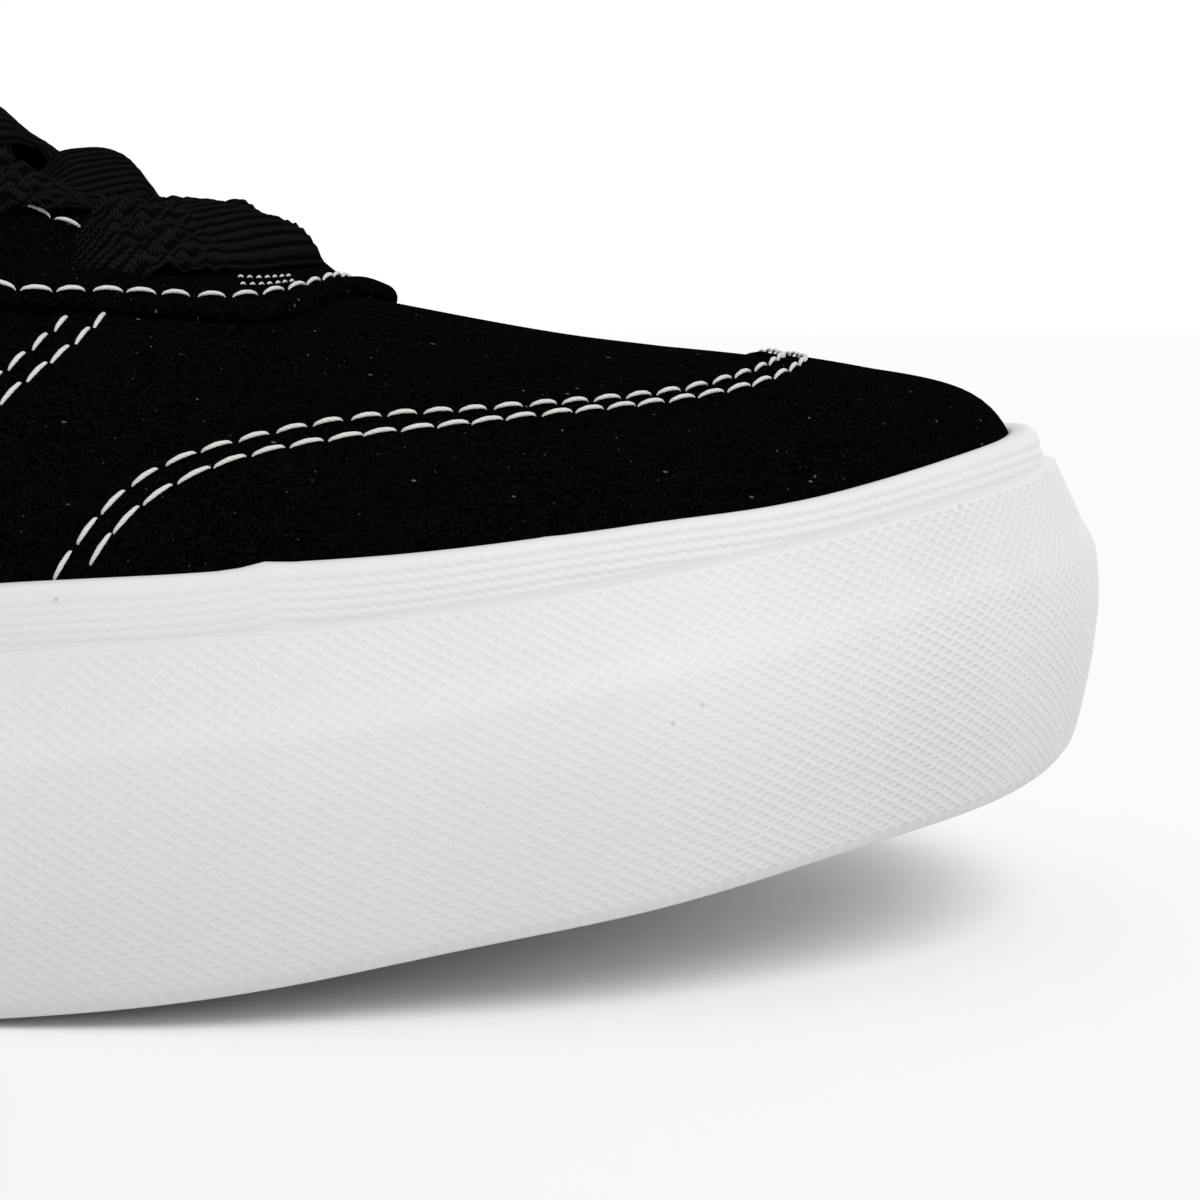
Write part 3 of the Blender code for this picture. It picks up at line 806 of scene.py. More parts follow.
def suede_material():
    """Black suede: fine nap that catches light at a grazing angle, with some lint."""
    paint = Painter("suede", 0.95, Specular_IOR_Level=0.0, Sheen_Weight=0.003, Sheen_Roughness=0.3)
    where = paint.place()
    nap = paint.noise(where, 3800.0, 3.0, 0.7)
    brushed = paint.noise(paint.place((900.0, 2600.0, 2600.0)), 1.0, 2.0, 0.6)
    cloud = paint.noise(where, 70.0, 3.0, 0.6)
    shade = paint.mix(paint.ramp(nap, 0.42, 0.72), (0.0003, 0.0003, 0.0004), (0.0050, 0.0050, 0.0054))
    shade = paint.mix(paint.ramp(brushed, 0.45, 0.75, 0.0, 0.5), shade, (0.0048, 0.0048, 0.0052))
    shade = paint.mix(paint.ramp(cloud, 0.4, 0.75, 0.0, 0.3), shade, (0.0022, 0.0022, 0.0024))
    fine_lint = paint.specks(where, 760.0, 0.09, 0.5)
    shade = paint.mix(fine_lint, shade, (0.035, 0.035, 0.036))
    # Lint lies in short strokes, some along the shoe and some up it
    strokes = [paint.specks(paint.place(stretch), 1.0, 0.07, 0.35)
               for stretch in ((230.0, 560.0, 560.0), (560.0, 560.0, 210.0))]
    shade = paint.mix(paint.math("MAXIMUM", *strokes), shade, (0.11, 0.11, 0.115))
    normal = paint.bump(brushed, 0.5, 0.12)
    normal = paint.bump(nap, 0.6, 0.12, normal)
    return paint.finish(shade, normal)


# Rubber with painted light: a cooler, darker white behind as painted shade, and a warmer, brighter one at
# the toe as a painted highlight
RUBBER_SHADED_COOL = (0.737, 0.737, 0.759)
RUBBER_LIT_WARM = (0.768, 0.757, 0.761)
RUBBER_SHADED_AT = 45.0
RUBBER_LIT_AT = 115.0
RUBBER_DIRT = (0.16, 0.16, 0.20)
# Dark flecks on the outer side, read from the photograph: along, across, high
RUBBER_FLECKS = [
    (48.7, -47.5, 36.3),
    (138.3, -13.2, 45.0),
    (111.4, -36.9, 39.9),
    (120.6, -31.9, 41.7),
    (128.1, -27.6, 42.9),
    (103.8, -46.7, 27.1),
    (101.2, -47.8, 25.7),
]
FLECK_RADIUS = 0.19
FLECK_STRENGTH = 0.32
KNURL_ROWS = 54
KNURL_RELIEF = 0.125
KNURL_FAINT = 0.40
KNURL_FADES_AT = 92.0
KNURL_FULL_AT = 132.0


def rubber_colour(paint, where):
    """Colour of the sole's rubber, with painted light that is cooler and darker behind and warmer and
    brighter at the toe, how cloudy it is, and the place along the shoe.
    """
    along = paint.split(where)["X"]
    # Painted light: from a cooler, darker white behind to a warmer, brighter one at the toe
    share = paint.ramp(along, RUBBER_SHADED_AT * MM, RUBBER_LIT_AT * MM)
    colour = paint.mix(share, RUBBER_SHADED_COOL, RUBBER_LIT_WARM)
    cloud = paint.noise(where, 28.0, 3.0, 0.55)
    colour = paint.mix(paint.ramp(cloud, 0.3, 0.7, 0.10, 0.0), colour, (0.5, 0.5, 0.52))
    fleck = paint.specks(where, 160.0, 0.03, 0.035)
    for place in RUBBER_FLECKS:
        fleck = paint.math("MAXIMUM", fleck, paint.spot(where, place, FLECK_RADIUS))
    return paint.mix(paint.math("MULTIPLY", fleck, FLECK_STRENGTH), colour, RUBBER_DIRT), cloud, along


def rubber_material():
    """White sole rubber: matt, faintly cloudy, with a few dark flecks, and painted light that is cooler and
    darker behind and warmer and brighter at the toe.
    """
    paint = Painter("rubber", 0.5, Specular_IOR_Level=0.35)
    where = paint.place()
    colour, cloud, _ = rubber_colour(paint, where)
    grain = paint.noise(where, 1500.0, 2.0, 0.5)
    normal = paint.bump(grain, 0.12, 0.06)
    rough = paint.ramp(cloud, 0.3, 0.7, 0.46, 0.56)
    return paint.finish(colour, normal, rough)


def knurl_material():
    """The sole's rubber with a net of thin ridges round small dents, with painted shade in the dents and
    toward the wall's bottom.
    """
    paint = Painter("rubber_knurled", 0.5, Specular_IOR_Level=0.35)
    cell = paint.split(paint.lay())
    # Distance from the nearest dent, which lies where the two lattice numbers add up to an odd number
    across = paint.math("PINGPONG", paint.math("ADD", cell["X"], cell["Y"]), 1.0)
    along = paint.math("PINGPONG", paint.math("SUBTRACT", cell["X"], cell["Y"]), 1.0)
    sunk = paint.math("MULTIPLY", paint.ramp(across, 0.0, 0.75), paint.ramp(along, 0.0, 0.75))
    # The dents fade into the smooth lip, are unevenly worn, and are shallower behind than at the toe
    where = paint.place()
    colour, _, x = rubber_colour(paint, where)
    worn = paint.noise(where, 110.0, 2.0, 0.5)
    for fade in (
        paint.ramp(cell["Y"], KNURL_ROWS - 1.0, KNURL_ROWS, 1.0, 0.0),
        paint.ramp(worn, 0.25, 0.65, 0.75, 1.0),
        paint.ramp(x, KNURL_FADES_AT * MM, KNURL_FULL_AT * MM, KNURL_FAINT, 1.0),
    ):
        sunk = paint.math("MULTIPLY", sunk, fade)
    # Painted shade: the dents are darker than the ridges round them
    colour = paint.mix(paint.math("MULTIPLY", sunk, 0.14), colour, (0.45, 0.44, 0.47))
    # Painted shade: the wall is darker toward its bottom, where less light falls
    low = paint.ramp(cell["Y"], -2.0, KNURL_ROWS * 0.8, 0.20, 0.02)
    colour = paint.mix(low, colour, (0.42, 0.41, 0.43))
    grain = paint.noise(where, 1500.0, 2.0, 0.5)
    normal = paint.bump(grain, 0.10, 0.05)
    normal = paint.bump(paint.math("SUBTRACT", 1.0, sunk), 1.0, KNURL_RELIEF, normal)
    return paint.finish(colour, normal)


def thread_material():
    """Warm white sewing thread."""
    paint = Painter("thread", 0.6, Specular_IOR_Level=0.3, Sheen_Weight=0.2, Sheen_Roughness=0.5)
    twist = paint.wave(paint.lay(), 1.2, "DIAGONAL")
    shade = paint.mix(paint.ramp(twist, 0.1, 0.9), (0.58, 0.58, 0.54), (0.70, 0.70, 0.66))
    fuzz = paint.noise(paint.place(), 4000.0, 2.0, 0.6)
    normal = paint.bump(twist, 0.2, 0.05)
    normal = paint.bump(fuzz, 0.35, 0.06, normal)
    return paint.finish(shade, normal)


# A wave texture of scale 1 has this many bands in one unit
WAVE_BANDS = 3.183
WEAVE_BANDS = 3.2
TWILL_TURN = 0.6
LACE_CORDS = 12


def lace_material():
    """Black flat lace: fine twill over cords that run along it, with painted shade in the grooves between
    the cords.
    """
    paint = Painter("lace", 0.8, Specular_IOR_Level=0.0)
    left = paint.wave(paint.lay(turn=TWILL_TURN), 1.6, "X", 0.6)
    right = paint.wave(paint.lay(turn=-TWILL_TURN), 1.6, "X", 0.6)
    weave = paint.math("MAXIMUM", left, right)
    shade = paint.mix(paint.ramp(weave, 0.3, 0.95), (0.0012, 0.0012, 0.0014), (0.0105, 0.0098, 0.0098))
    fibre = paint.noise(paint.lay((0.7, 9.0, 1.0)), 1.0, 2.0, 0.6)
    shade = paint.mix(paint.ramp(fibre, 0.4, 0.75, 0.0, 0.5), shade, (0.0160, 0.0150, 0.0150))
    # Painted shade: the grooves between the cords are darker
    groove = paint.wave(paint.lay(), LACE_CORDS / LACE_WIDE / WAVE_BANDS, "Y")
    shade = paint.mix(paint.ramp(groove, 0.3, 0.95, 0.0, 0.82), shade, (0.0010, 0.0010, 0.0012))
    normal = paint.bump(weave, 0.8, 0.15)
    normal = paint.bump(fibre, 0.3, 0.08, normal)
    return paint.finish(shade, normal)


def cloth_material(name, dark, light, pitch):
    """Black plain-woven cloth for the tongue, lining and insole."""
    paint = Painter(name, 0.9, Specular_IOR_Level=0.12, Sheen_Weight=0.02, Sheen_Roughness=0.4)
    warp, weft = (paint.wave(paint.lay(), 1.0 / pitch / WEAVE_BANDS, way, 0.4) for way in "XY")
    weave = paint.math("MULTIPLY", warp, weft)
    fuzz = paint.noise(paint.place(), 900.0, 3.0, 0.6)
    shade = paint.mix(paint.ramp(weave, 0.05, 0.8), dark, light)
    shade = paint.mix(paint.ramp(fuzz, 0.35, 0.75, 0.0, 0.5), shade, dark)
    normal = paint.bump(weave, 0.7, 0.2)
    normal = paint.bump(fuzz, 0.2, 0.1, normal)
    return paint.finish(shade, normal)


SUEDE = suede_material()
RUBBER = rubber_material()
KNURL = knurl_material()
THREAD = thread_material()
LACE = lace_material()
LINING = cloth_material("lining", (0.006, 0.006, 0.007), (0.022, 0.022, 0.024), 0.55)
TONGUE_CLOTH = cloth_material("tongue_cloth", (0.0035, 0.0035, 0.004), (0.011, 0.011, 0.012), 0.7)


# Sole wall

STRIP_FACE = 2.3
LIP_BOND = 0.2
LIP_RISE = 0.12
LIP_CREST = 0.06
LIP_BURIED = np.array([1.0, 1.0, 0.0])
WALL_BACK_SHARE = 0.3
WALL_FOOT = [0.0, 0.008, 0.02]
KNURL_WIDE = 1.6
KNURL_DEEP = 0.17
KNURL_FROM = 0.035
KNURL_TO = 0.998
KNURL_RAGGED = (0.8, 1.1)
WALL_WAVES = Waves(SEED + 1, [70, 55, 42, 36], 0.25)
SEAM_MERGE = 0.02


def wall_face(places, heights):
    """Points on the sole wall's face at shares of its height, and its outward directions."""
    foot = FOOT_LINE.at(places)
    out = FOOT_LINE.outward(places)
    low = underside(foot[:, 0]) + WALL_LIFT
    high = underside(foot[:, 0]) + toward_toe(foot[:, 0], WALL_HIGH_BALL, WALL_HIGH_TOE)
    profile = column_at(WALL_FACE, heights)
    plan = foot[:, None] + (SOLE_REACH * profile)[None, :, None] * out[:, None]
    points = at_height(plan, low[:, None] + heights[None] * (high - low)[:, None])
    lean = -(SOLE_REACH * np.gradient(profile, heights))[None] / (high - low)[:, None]
    return points, unit(at_height(np.broadcast_to(out[:, None], plan.shape), lean))


def make_sole_wall():
    """Sole wall, knurled by pressing in every other point of a lattice."""
    half = even_places(0, TOE_TIP, KNURL_WIDE / 2, SOLE_REACH)
    if len(half) % 2 == 0:
        half = np.interp(np.linspace(0, 1, len(half) + 1), np.linspace(0, 1, len(half)), half)
    places = mirrored(half)[:-1]
    heights = np.concatenate([WALL_FOOT, np.linspace(KNURL_FROM, KNURL_TO, KNURL_ROWS + 1), [1.0]])
    points, normal = wall_face(places, heights)
    i = np.arange(len(places))[:, None]
    j = np.arange(len(heights))[None] - len(WALL_FOOT)
    pit = ((i + j) % 2 == 1) & (j > 0) & (j < KNURL_ROWS)
    draw = np.random.default_rng(SEED)
    ragged = draw.uniform(*KNURL_RAGGED, pit.shape)
    fade = smooth(-0.6, 0.9, KNURL_ROWS - j + draw.uniform(-0.5, 0.5, pit.shape)) * smooth(0, 2, j)
    fade = fade * stronger(points[..., 0], KNURL_FAINT, KNURL_FADES_AT, KNURL_FULL_AT)
    depth = np.where(pit, KNURL_DEEP * ragged * fade, 0)
    points = points + normal * (WALL_WAVES.at(points) - depth)[..., None]
    pile = Pile()
    lattice = np.stack(np.broadcast_arrays(i, np.clip(j, 0, KNURL_ROWS)), axis=-1).astype(float)
    face = pile.add(points, lattice)
    # Each cell of the lattice is split along the ridge between two pits
    seam = pile.add(points[:1], lattice[:1] + np.array([len(places), 0.0]))
    a, b, c, d = (corner.ravel() for corner in corners(np.concatenate([face, seam])))
    even = ((i + j[:, :-1]) % 2 == 0).ravel()[:, None]
    one = np.where(even, np.stack([a, b, c], -1), np.stack([a, b, d], -1))
    two = np.where(even, np.stack([a, c, d], -1), np.stack([b, c, d], -1))
    pile.add_faces(np.concatenate([one, two]))
    # Lip, back and underside
    top = points[:, -1]
    inner = STRIP_FACE - LIP_BOND
    lip_share = share_at_height(places, top[:, 2])
    lip = off_upper(places, lip_share, inner)
    lip[:, 2] = top[:, 2] + LIP_RISE
    crest = (top + lip) / 2 + np.array([0, 0, LIP_CREST])
    buried = lip - upper_normals(places, lip_share) * LIP_BURIED
    behind = off_upper(places, lip_share * WALL_BACK_SHARE, inner)
    floor = at_height(FOOT_LINE.at(places) + inner * FOOT_LINE.outward(places), points[:, 0, 2])
    numbers = pile.add(np.stack([crest, lip, buried, behind, floor], axis=1))
    loop = np.concatenate([face[:, -1:], numbers, face[:, :1]], axis=1)
    pile.quads(loop, close_columns=True, material=1)
    pile.make("sole_wall_knurled", [KNURL, RUBBER], "rubber", "sole_wall", merge=SEAM_MERGE)


# Upper strip of rubber

GROOVE_PITCH = 0.82
GROOVE_COUNT = 6
GROOVE_FROM_BALL = 2.6
GROOVE_FROM_TOE = 1.7
GROOVE_HALF = 0.12
GROOVE_DEEP = 0.12
GROOVE_FAINT = 0.4
GROOVE_FADES_AT = 55.0
GROOVE_FULL_AT = 110.0
GROOVE_WAVE = 0.09
GROOVE_PERIOD = 1.15
GROOVE_STEPS = 6
GROOVE_DRIFT = 0.08
GROOVE_DRIFT_STEPS = 60
STRIP_SWELL = 0.22
STRIP_SWELLS_FROM = 65.0
STRIP_SWELLS_TO = 134.0
STRIP_BELOW = 9.5
STRIP_TUCK = 0.1
STRIP_SPACING = 2.0
# Rounded top edge of the strip: distance below the top, height over the upper
STRIP_EDGE = [(0.0, 0.05), (0.06, 0.8), (0.25, 1.45), (0.6, 2.0), (1.1, STRIP_FACE)]
StripRow = namedtuple("StripRow", "below lift wavy deep")


def strip_rows():
    """Rows of points from the strip's top edge down its face, over the grooves, to its lower edge."""
    rows = [StripRow(below, lift, False, 0.0) for below, lift in STRIP_EDGE]
    for k in range(GROOVE_COUNT):
        for aside, deep in ((-GROOVE_HALF, 0.0), (0.0, GROOVE_DEEP), (GROOVE_HALF, 0.0)):
            rows.append(StripRow(k * GROOVE_PITCH + aside, STRIP_FACE, True, deep))
    rows.append(StripRow(STRIP_BELOW, STRIP_FACE - STRIP_TUCK, False, 0.0))
    rows.append(StripRow(STRIP_BELOW, STRIP_TUCK, False, 0.0))
    return rows


def make_strip():
    """Smooth strip above the sole wall, with wavy grooves in its lower part."""
    places = mirrored(even_places(0, TOE_TIP, GROOVE_PERIOD / GROOVE_STEPS, STRIP_THICK))[:-1]
    coarse = mirrored(even_places(0, TOE_TIP, STRIP_SPACING))
    top_share = np.interp(places, coarse, strip_top_share(coarse))
    _, climb = upper_slopes(places, top_share)
    per_share = np.linalg.norm(climb, axis=1)
    top_normals = upper_normals(places, top_share)
    foot_x = FOOT_LINE.at(places)[:, 0]
    steps = np.arange(len(places))
    knots = steps[::GROOVE_DRIFT_STEPS]
    draw = np.random.default_rng(SEED + 2)
    drift = np.interp(steps, knots, draw.uniform(-GROOVE_DRIFT, GROOVE_DRIFT, len(knots)))
    groove = toward_toe(foot_x, GROOVE_FROM_BALL, GROOVE_FROM_TOE) + drift
    groove = groove + GROOVE_WAVE * np.sin(steps * TURN / GROOVE_STEPS)
    sharp = stronger(foot_x, GROOVE_FAINT, GROOVE_FADES_AT, GROOVE_FULL_AT)
    thicker = 1 + STRIP_SWELL * smooth(STRIP_SWELLS_FROM, STRIP_SWELLS_TO, foot_x)
    columns = []
    for row in strip_rows():
        share = np.clip(top_share - (row.below + row.wavy * groove) / per_share, 0.01, 1)
        normal = upper_normals(places, share) if row.wavy else top_normals
        out = row.lift * thicker - row.deep * sharp
        columns.append(upper_points(places, share) + normal * out[:, None])
    points = np.stack(columns, axis=1)
    pile = Pile()
    pile.quads(pile.add(points, lay_of(points)), close_columns=True, close_rows=True)
    pile.make("toe_strip_grooved", [RUBBER], "rubber", "toe_strip")


# Outsole and insole

TREAD_PITCH = 7.0
TREAD_ZIG = 14.0
TREAD_SLANT = 0.8
TREAD_DEEP = 1.2
TREAD_BORDER = 5.0
TREAD_BORDER_SOFT = 1.5
TREAD_END_FROM = 10.0
TREAD_END_TO = 13.0
OUTSOLE_ACROSS = 101
OUTSOLE_SPACING = 0.85
OUTSOLE_TOP_EVERY = 25
INSOLE_ACROSS = 41
INSOLE_SPACING = 2.5
INSOLE_DISH = 1.6
INSOLE_EDGE_FALL = 1.2
INSOLE_EDGE_FROM = 0.93
INSOLE_UNEVEN = 0.6


def slab_grid(inset, across, spacing):
    """Plan points over the foot line, from the outer edge to the inner edge."""
    half = even_places(0, TOE_TIP, spacing)[1:-1]
    lateral, medial = (FOOT_LINE.at(at) - inset * FOOT_LINE.outward(at) for at in (half, LOOP - half))
    f = np.linspace(0, 1, across)[None, :, None]
    return lateral[:, None] * (1 - f) + medial[:, None] * f


def tread_depth(plan):
    """Depth of plain zigzag grooves in the sole, clear of its border."""
    from_outer = np.linalg.norm(plan - plan[:, :1], axis=-1)
    from_inner = np.linalg.norm(plan - plan[:, -1:], axis=-1)
    edge = np.minimum(from_outer, from_inner)
    ends = LENGTH / 2 - np.abs(plan[..., 0])
    inside = smooth(TREAD_BORDER, TREAD_BORDER + TREAD_BORDER_SOFT, edge)
    inside = inside * smooth(TREAD_END_FROM, TREAD_END_TO, ends)
    zig = np.abs((plan[..., 1] / TREAD_ZIG) % 1 - 0.5) * TREAD_ZIG * TREAD_SLANT
    phase = ((plan[..., 0] + zig) / TREAD_PITCH) % 1
    groove = smooth(0.0, 0.12, phase) * (1 - smooth(0.28, 0.40, phase))
    return TREAD_DEEP * groove * inside


def make_outsole():
    plan = slab_grid(-(STRIP_THICK + GAP), OUTSOLE_ACROSS, OUTSOLE_SPACING)
    bottom = at_height(plan, underside(plan[..., 0]) + tread_depth(plan))
    top_plan = plan[:, ::OUTSOLE_TOP_EVERY]
    pile = Pile()
    under = pile.add(bottom, lay_of(bottom))
    pile.slab(under, pile.add(at_height(top_plan, sole_top(top_plan[..., 0]))))
    pile.make("outsole_treaded", [RUBBER], "rubber", "outsole")


def make_insole():
    """Dished footbed with rounded edges."""
    plan = slab_grid(SHELL_THICK + GAP, INSOLE_ACROSS, INSOLE_SPACING)
    f = np.linspace(-1, 1, INSOLE_ACROSS)[None]
    rise = INSOLE_THICK - INSOLE_DISH * (1 - f**4)
    rise = rise - INSOLE_EDGE_FALL * smooth(INSOLE_EDGE_FROM, 1.0, np.abs(f))
    low = sole_top(plan[..., 0]) + GAP
    top = at_height(plan, low + rise)
    top[..., 2] += BROAD.at(top) * INSOLE_UNEVEN
    pile = Pile()
    under = pile.add(at_height(plan, low))
    pile.slab(under, pile.add(top, lay_of(top)))
    pile.make("insole_cloth", [LINING], "lining", "insole", fill=0.8)


# Upper

RIB_SPACING = 1.5
OUTER_ROWS = 52
INNER_ROWS = 26
RIM_CROWN = np.array([0, 0, 0.5])


def make_shell():
    """Hollow shell of the quarters: suede outside, lining inside, rounded rim."""
    places = mirrored(even_places(0, TOE_TIP, RIB_SPACING))[:-1]
    outer = dressed(places[:, None], np.linspace(0.0, 1.0, OUTER_ROWS)[None], SHELL_LIFT)
    inner = off_upper(places[:, None], np.linspace(0.0, 1.0, INNER_ROWS)[None], -SHELL_THICK)
    pile = Pile()
    face = pile.add(outer, lay_of(outer))
    lining = pile.add(inner, lay_of(inner))
    crown = pile.add((outer[:, -1] + inner[:, -1]) / 2 + RIM_CROWN)
    # On the ridge the two sides have the same points
    on_ridge = wrap(places) >= THROAT_FRONT
    mirror = -np.arange(len(places)) % len(places)
    inner_side = on_ridge & (np.arange(len(places)) > mirror)
    for numbers in (face[:, -1], lining[:, -1], crown):
        numbers[inner_side] = numbers[mirror[inner_side]]
    pile.quads(face, close_columns=True)
    pile.quads(lining, close_columns=True, material=1)
    pile.join(lining[:, 0], face[:, 0], close_columns=True, material=1)
    # Rim of the collar and throat, between the two faces
    for start in np.where(~(on_ridge & np.roll(on_ridge, -1)))[0]:
        pair = [start, (start + 1) % len(places)]
        pile.join(face[pair, -1], crown[pair], lining[pair, -1])
    return pile.make("upper_shell", [SUEDE, LINING], "suede", "upper")


def make_sheet(name, places, shares, lift, under, on_ridge, stands_for=None):
    """Thin layer of suede over the outer side and its mirror, closed below and at its edges.

    The last column is the middle one. A column that ends on the ridge shares its last point with its mirror.
    """
    count = len(places)
    places = mirrored(places)
    shares, lift, under, ridge = (doubled(grid) for grid in (shares, lift, under, on_ridge))
    pile = Pile()
    layers = []
    for height in (lift, under):
        points = dressed(places, shares, height)
        numbers = pile.add(points, lay_of(points))
        numbers[count:, -1] = np.where(ridge[count:], numbers[count - 2::-1, -1], numbers[count:, -1])
        pile.quads(numbers)
        layers.append(numbers)
    over, below = layers
    pile.join(over[:, 0], below[:, 0])
    for end in (0, -1):
        pile.join(over[end], below[end])
    for start in np.where(~(ridge[:-1] & ridge[1:]))[0]:
        pile.join(over[start:start + 2, -1], below[start:start + 2, -1])
    return pile.make(name, [SUEDE], "suede", stands_for)


EDGE_STEPS = np.array([0.0, 0.04, 0.12, 0.25, 0.42])
EDGE_ROUND = 0.4
EDGE_CLEAR = 0.02
PULL_DEEP = 0.16
PULL_WIDE = 0.75


def rounded(distance, lift, under, radius=EDGE_ROUND):
    """Height of a layer at a distance from its edge."""
    fall = np.clip(1 - distance / radius, 0, 1)
    drop = radius * (1 - np.sqrt(1 - fall**2))
    return np.maximum(lift - drop, under + EDGE_CLEAR)


def pulled(distance):
    """Depth of the soft trough where the thread pulls the suede down, at a distance from the row."""
    return PULL_DEEP * np.exp(-(distance / PULL_WIDE) ** 2)


ROW_UPPER = seam_line(TOE_ROW_UPPER)
ROW_LOWER = seam_line(TOE_ROW_LOWER)
ROW_FRONT = seam_line(QUARTER_ROW_FRONT)
ROW_REAR = seam_line(QUARTER_ROW_REAR)
ROW_STAY = moved_line(seam_line(STAY_ROW_OUTER), -STAY_ROW_DROP)
TOE_EDGE = moved_line(ROW_UPPER, SEAM_MARGIN)
VAMP_EDGE = moved_line(ROW_REAR, -SEAM_MARGIN)

VAMP_ROWS = 56
VAMP_LOWEST = 0.2
VAMP_COLUMNS = 116
VAMP_RUN = 90.0
VAMP_RUN_FROM = 0.6
VAMP_EVENS_FROM = 1.0
VAMP_EVENS_TO = 12.0


def make_vamp():
    """Vamp over the quarters: from its back edge round the toe, up to the throat and the ridge."""
    edge_place, edge_share = VAMP_EDGE
    order = np.argsort(edge_share)
    shares = np.linspace(VAMP_LOWEST, 1.0, VAMP_ROWS)
    start = np.interp(shares, edge_share[order], edge_place[order])
    # Columns gather at the edge, then spread evenly toward the toe
    evenly = np.linspace(0, 1, VAMP_COLUMNS)[1:] * VAMP_RUN + VAMP_RUN_FROM
    spread = np.concatenate([EDGE_STEPS, evenly])[:, None]
    run, _ = upper_slopes(start, shares)
    near = start[None] + spread / np.linalg.norm(run, axis=1)[None]
    far = start[None] + spread / spread[-1] * (TOE_TIP - start)[None]
    blend = smooth(VAMP_EVENS_FROM, VAMP_EVENS_TO, spread)
    half = near * (1 - blend) + far * blend
    half[-1] = TOE_TIP
    half = np.maximum.accumulate(half, axis=0)
    lift = rounded(spread, VAMP_LIFT, SHELL_LIFT) - pulled(spread - SEAM_MARGIN)
    rows, lift = (np.broadcast_to(grid, half.shape) for grid in (shares[None], lift))
    under = np.full(half.shape, SHELL_LIFT - LAYER_THICK)
    return make_sheet("vamp", half, rows, lift, under, half[:, -1] >= THROAT_FRONT)


TOE_CAP_ROWS = [*EDGE_STEPS, 0.7, 1.0, 1.3, 1.6, 2.0, 2.4, 2.8, 3.2, 3.6, 4.2]
TOE_CAP_BELOW = 0.05
TOE_CAP_FROM = 0.02


def make_toe_cap():
    """U-shaped layer round the toe, with its edge above the upper row of stitches."""
    low = even_places(TOE_EDGE[0][0] + TOE_CAP_FROM, TOE_TIP, 1.0)
    bottom = (low, strip_top_share(low) - TOE_CAP_BELOW)
    places, shares = between(TOE_EDGE, bottom, spacing=0.7, near=TOE_CAP_ROWS, steps=28)
    base = upper_points(places, shares)
    lift = rounded(away_from(base, TOE_EDGE), TOE_LIFT, VAMP_LIFT)
    for row in (ROW_UPPER, ROW_LOWER):
        lift = lift - pulled(away_from(base, row))
    under = np.full(places.shape, VAMP_LIFT - LAYER_THICK)
    make_sheet("toe_cap", places, shares, lift, under, np.zeros(len(places), bool))


# Eyelets. The gap behind the first pair is the widest, and that pair is the farthest from the rim.
EYELET_FIRST = 45.2
EYELET_GAP = 13.2
EYELET_PITCH = 9.5
EYELET_INSET = 7.0
FIRST_INSET = 9.0
RIM_AHEAD = 3.2
RIM_PLACES = np.linspace(THROAT_CORNER, THROAT_FRONT, FINE_STEPS)
RIM = upper_points(RIM_PLACES, np.ones_like(RIM_PLACES))


def eyelet_along(index):
    """How far forward a pair of eyelets is."""
    return EYELET_FIRST - (EYELET_GAP + EYELET_PITCH * (index - 1) if index else 0.0)


def eyelet_middle(index):
    """Middle of an eyelet on the outer side."""
    place = np.interp([eyelet_along(index)], RIM[:, 0], RIM_PLACES)
    return upper_points(*line_below(place, EYELET_INSET if index else FIRST_INSET))[0]


def eyelet_point(index, side):
    """Middle of an eyelet in plan, on the eyestay."""
    along, out, _ = eyelet_middle(index)
    return np.array([along, side * abs(out)])


def rim_point(index, side):
    """Place in plan inside the throat, where a lace comes out from under the eyestay."""
    along = eyelet_along(index) + RIM_AHEAD
    return np.array([along, side * np.interp(along, RIM[:, 0], np.abs(RIM[:, 1]))])


INNER_ROW_END = 7.95
STAY_POINTS = 600
STAY_ROUND = 1.2
STAY_NOSE = 0.5
STAY_NOSE_AT = 71.3
STAY_NOSE_LONG = 2.2
STAY_NOSE_WIDE = 6.0
RIM_RISE = 1.5
RIM_RISE_DEEP = 2.2
RIM_RISE_WIDE = 9.0
RIM_RISES_FROM = 50.0
RIM_RISES_TO = 60.0
HOLE_RADIUS = 1.6
HOLE_SOFT = 0.4
HOLE_DEEP = 1.8
STAY_THINNEST = 0.05


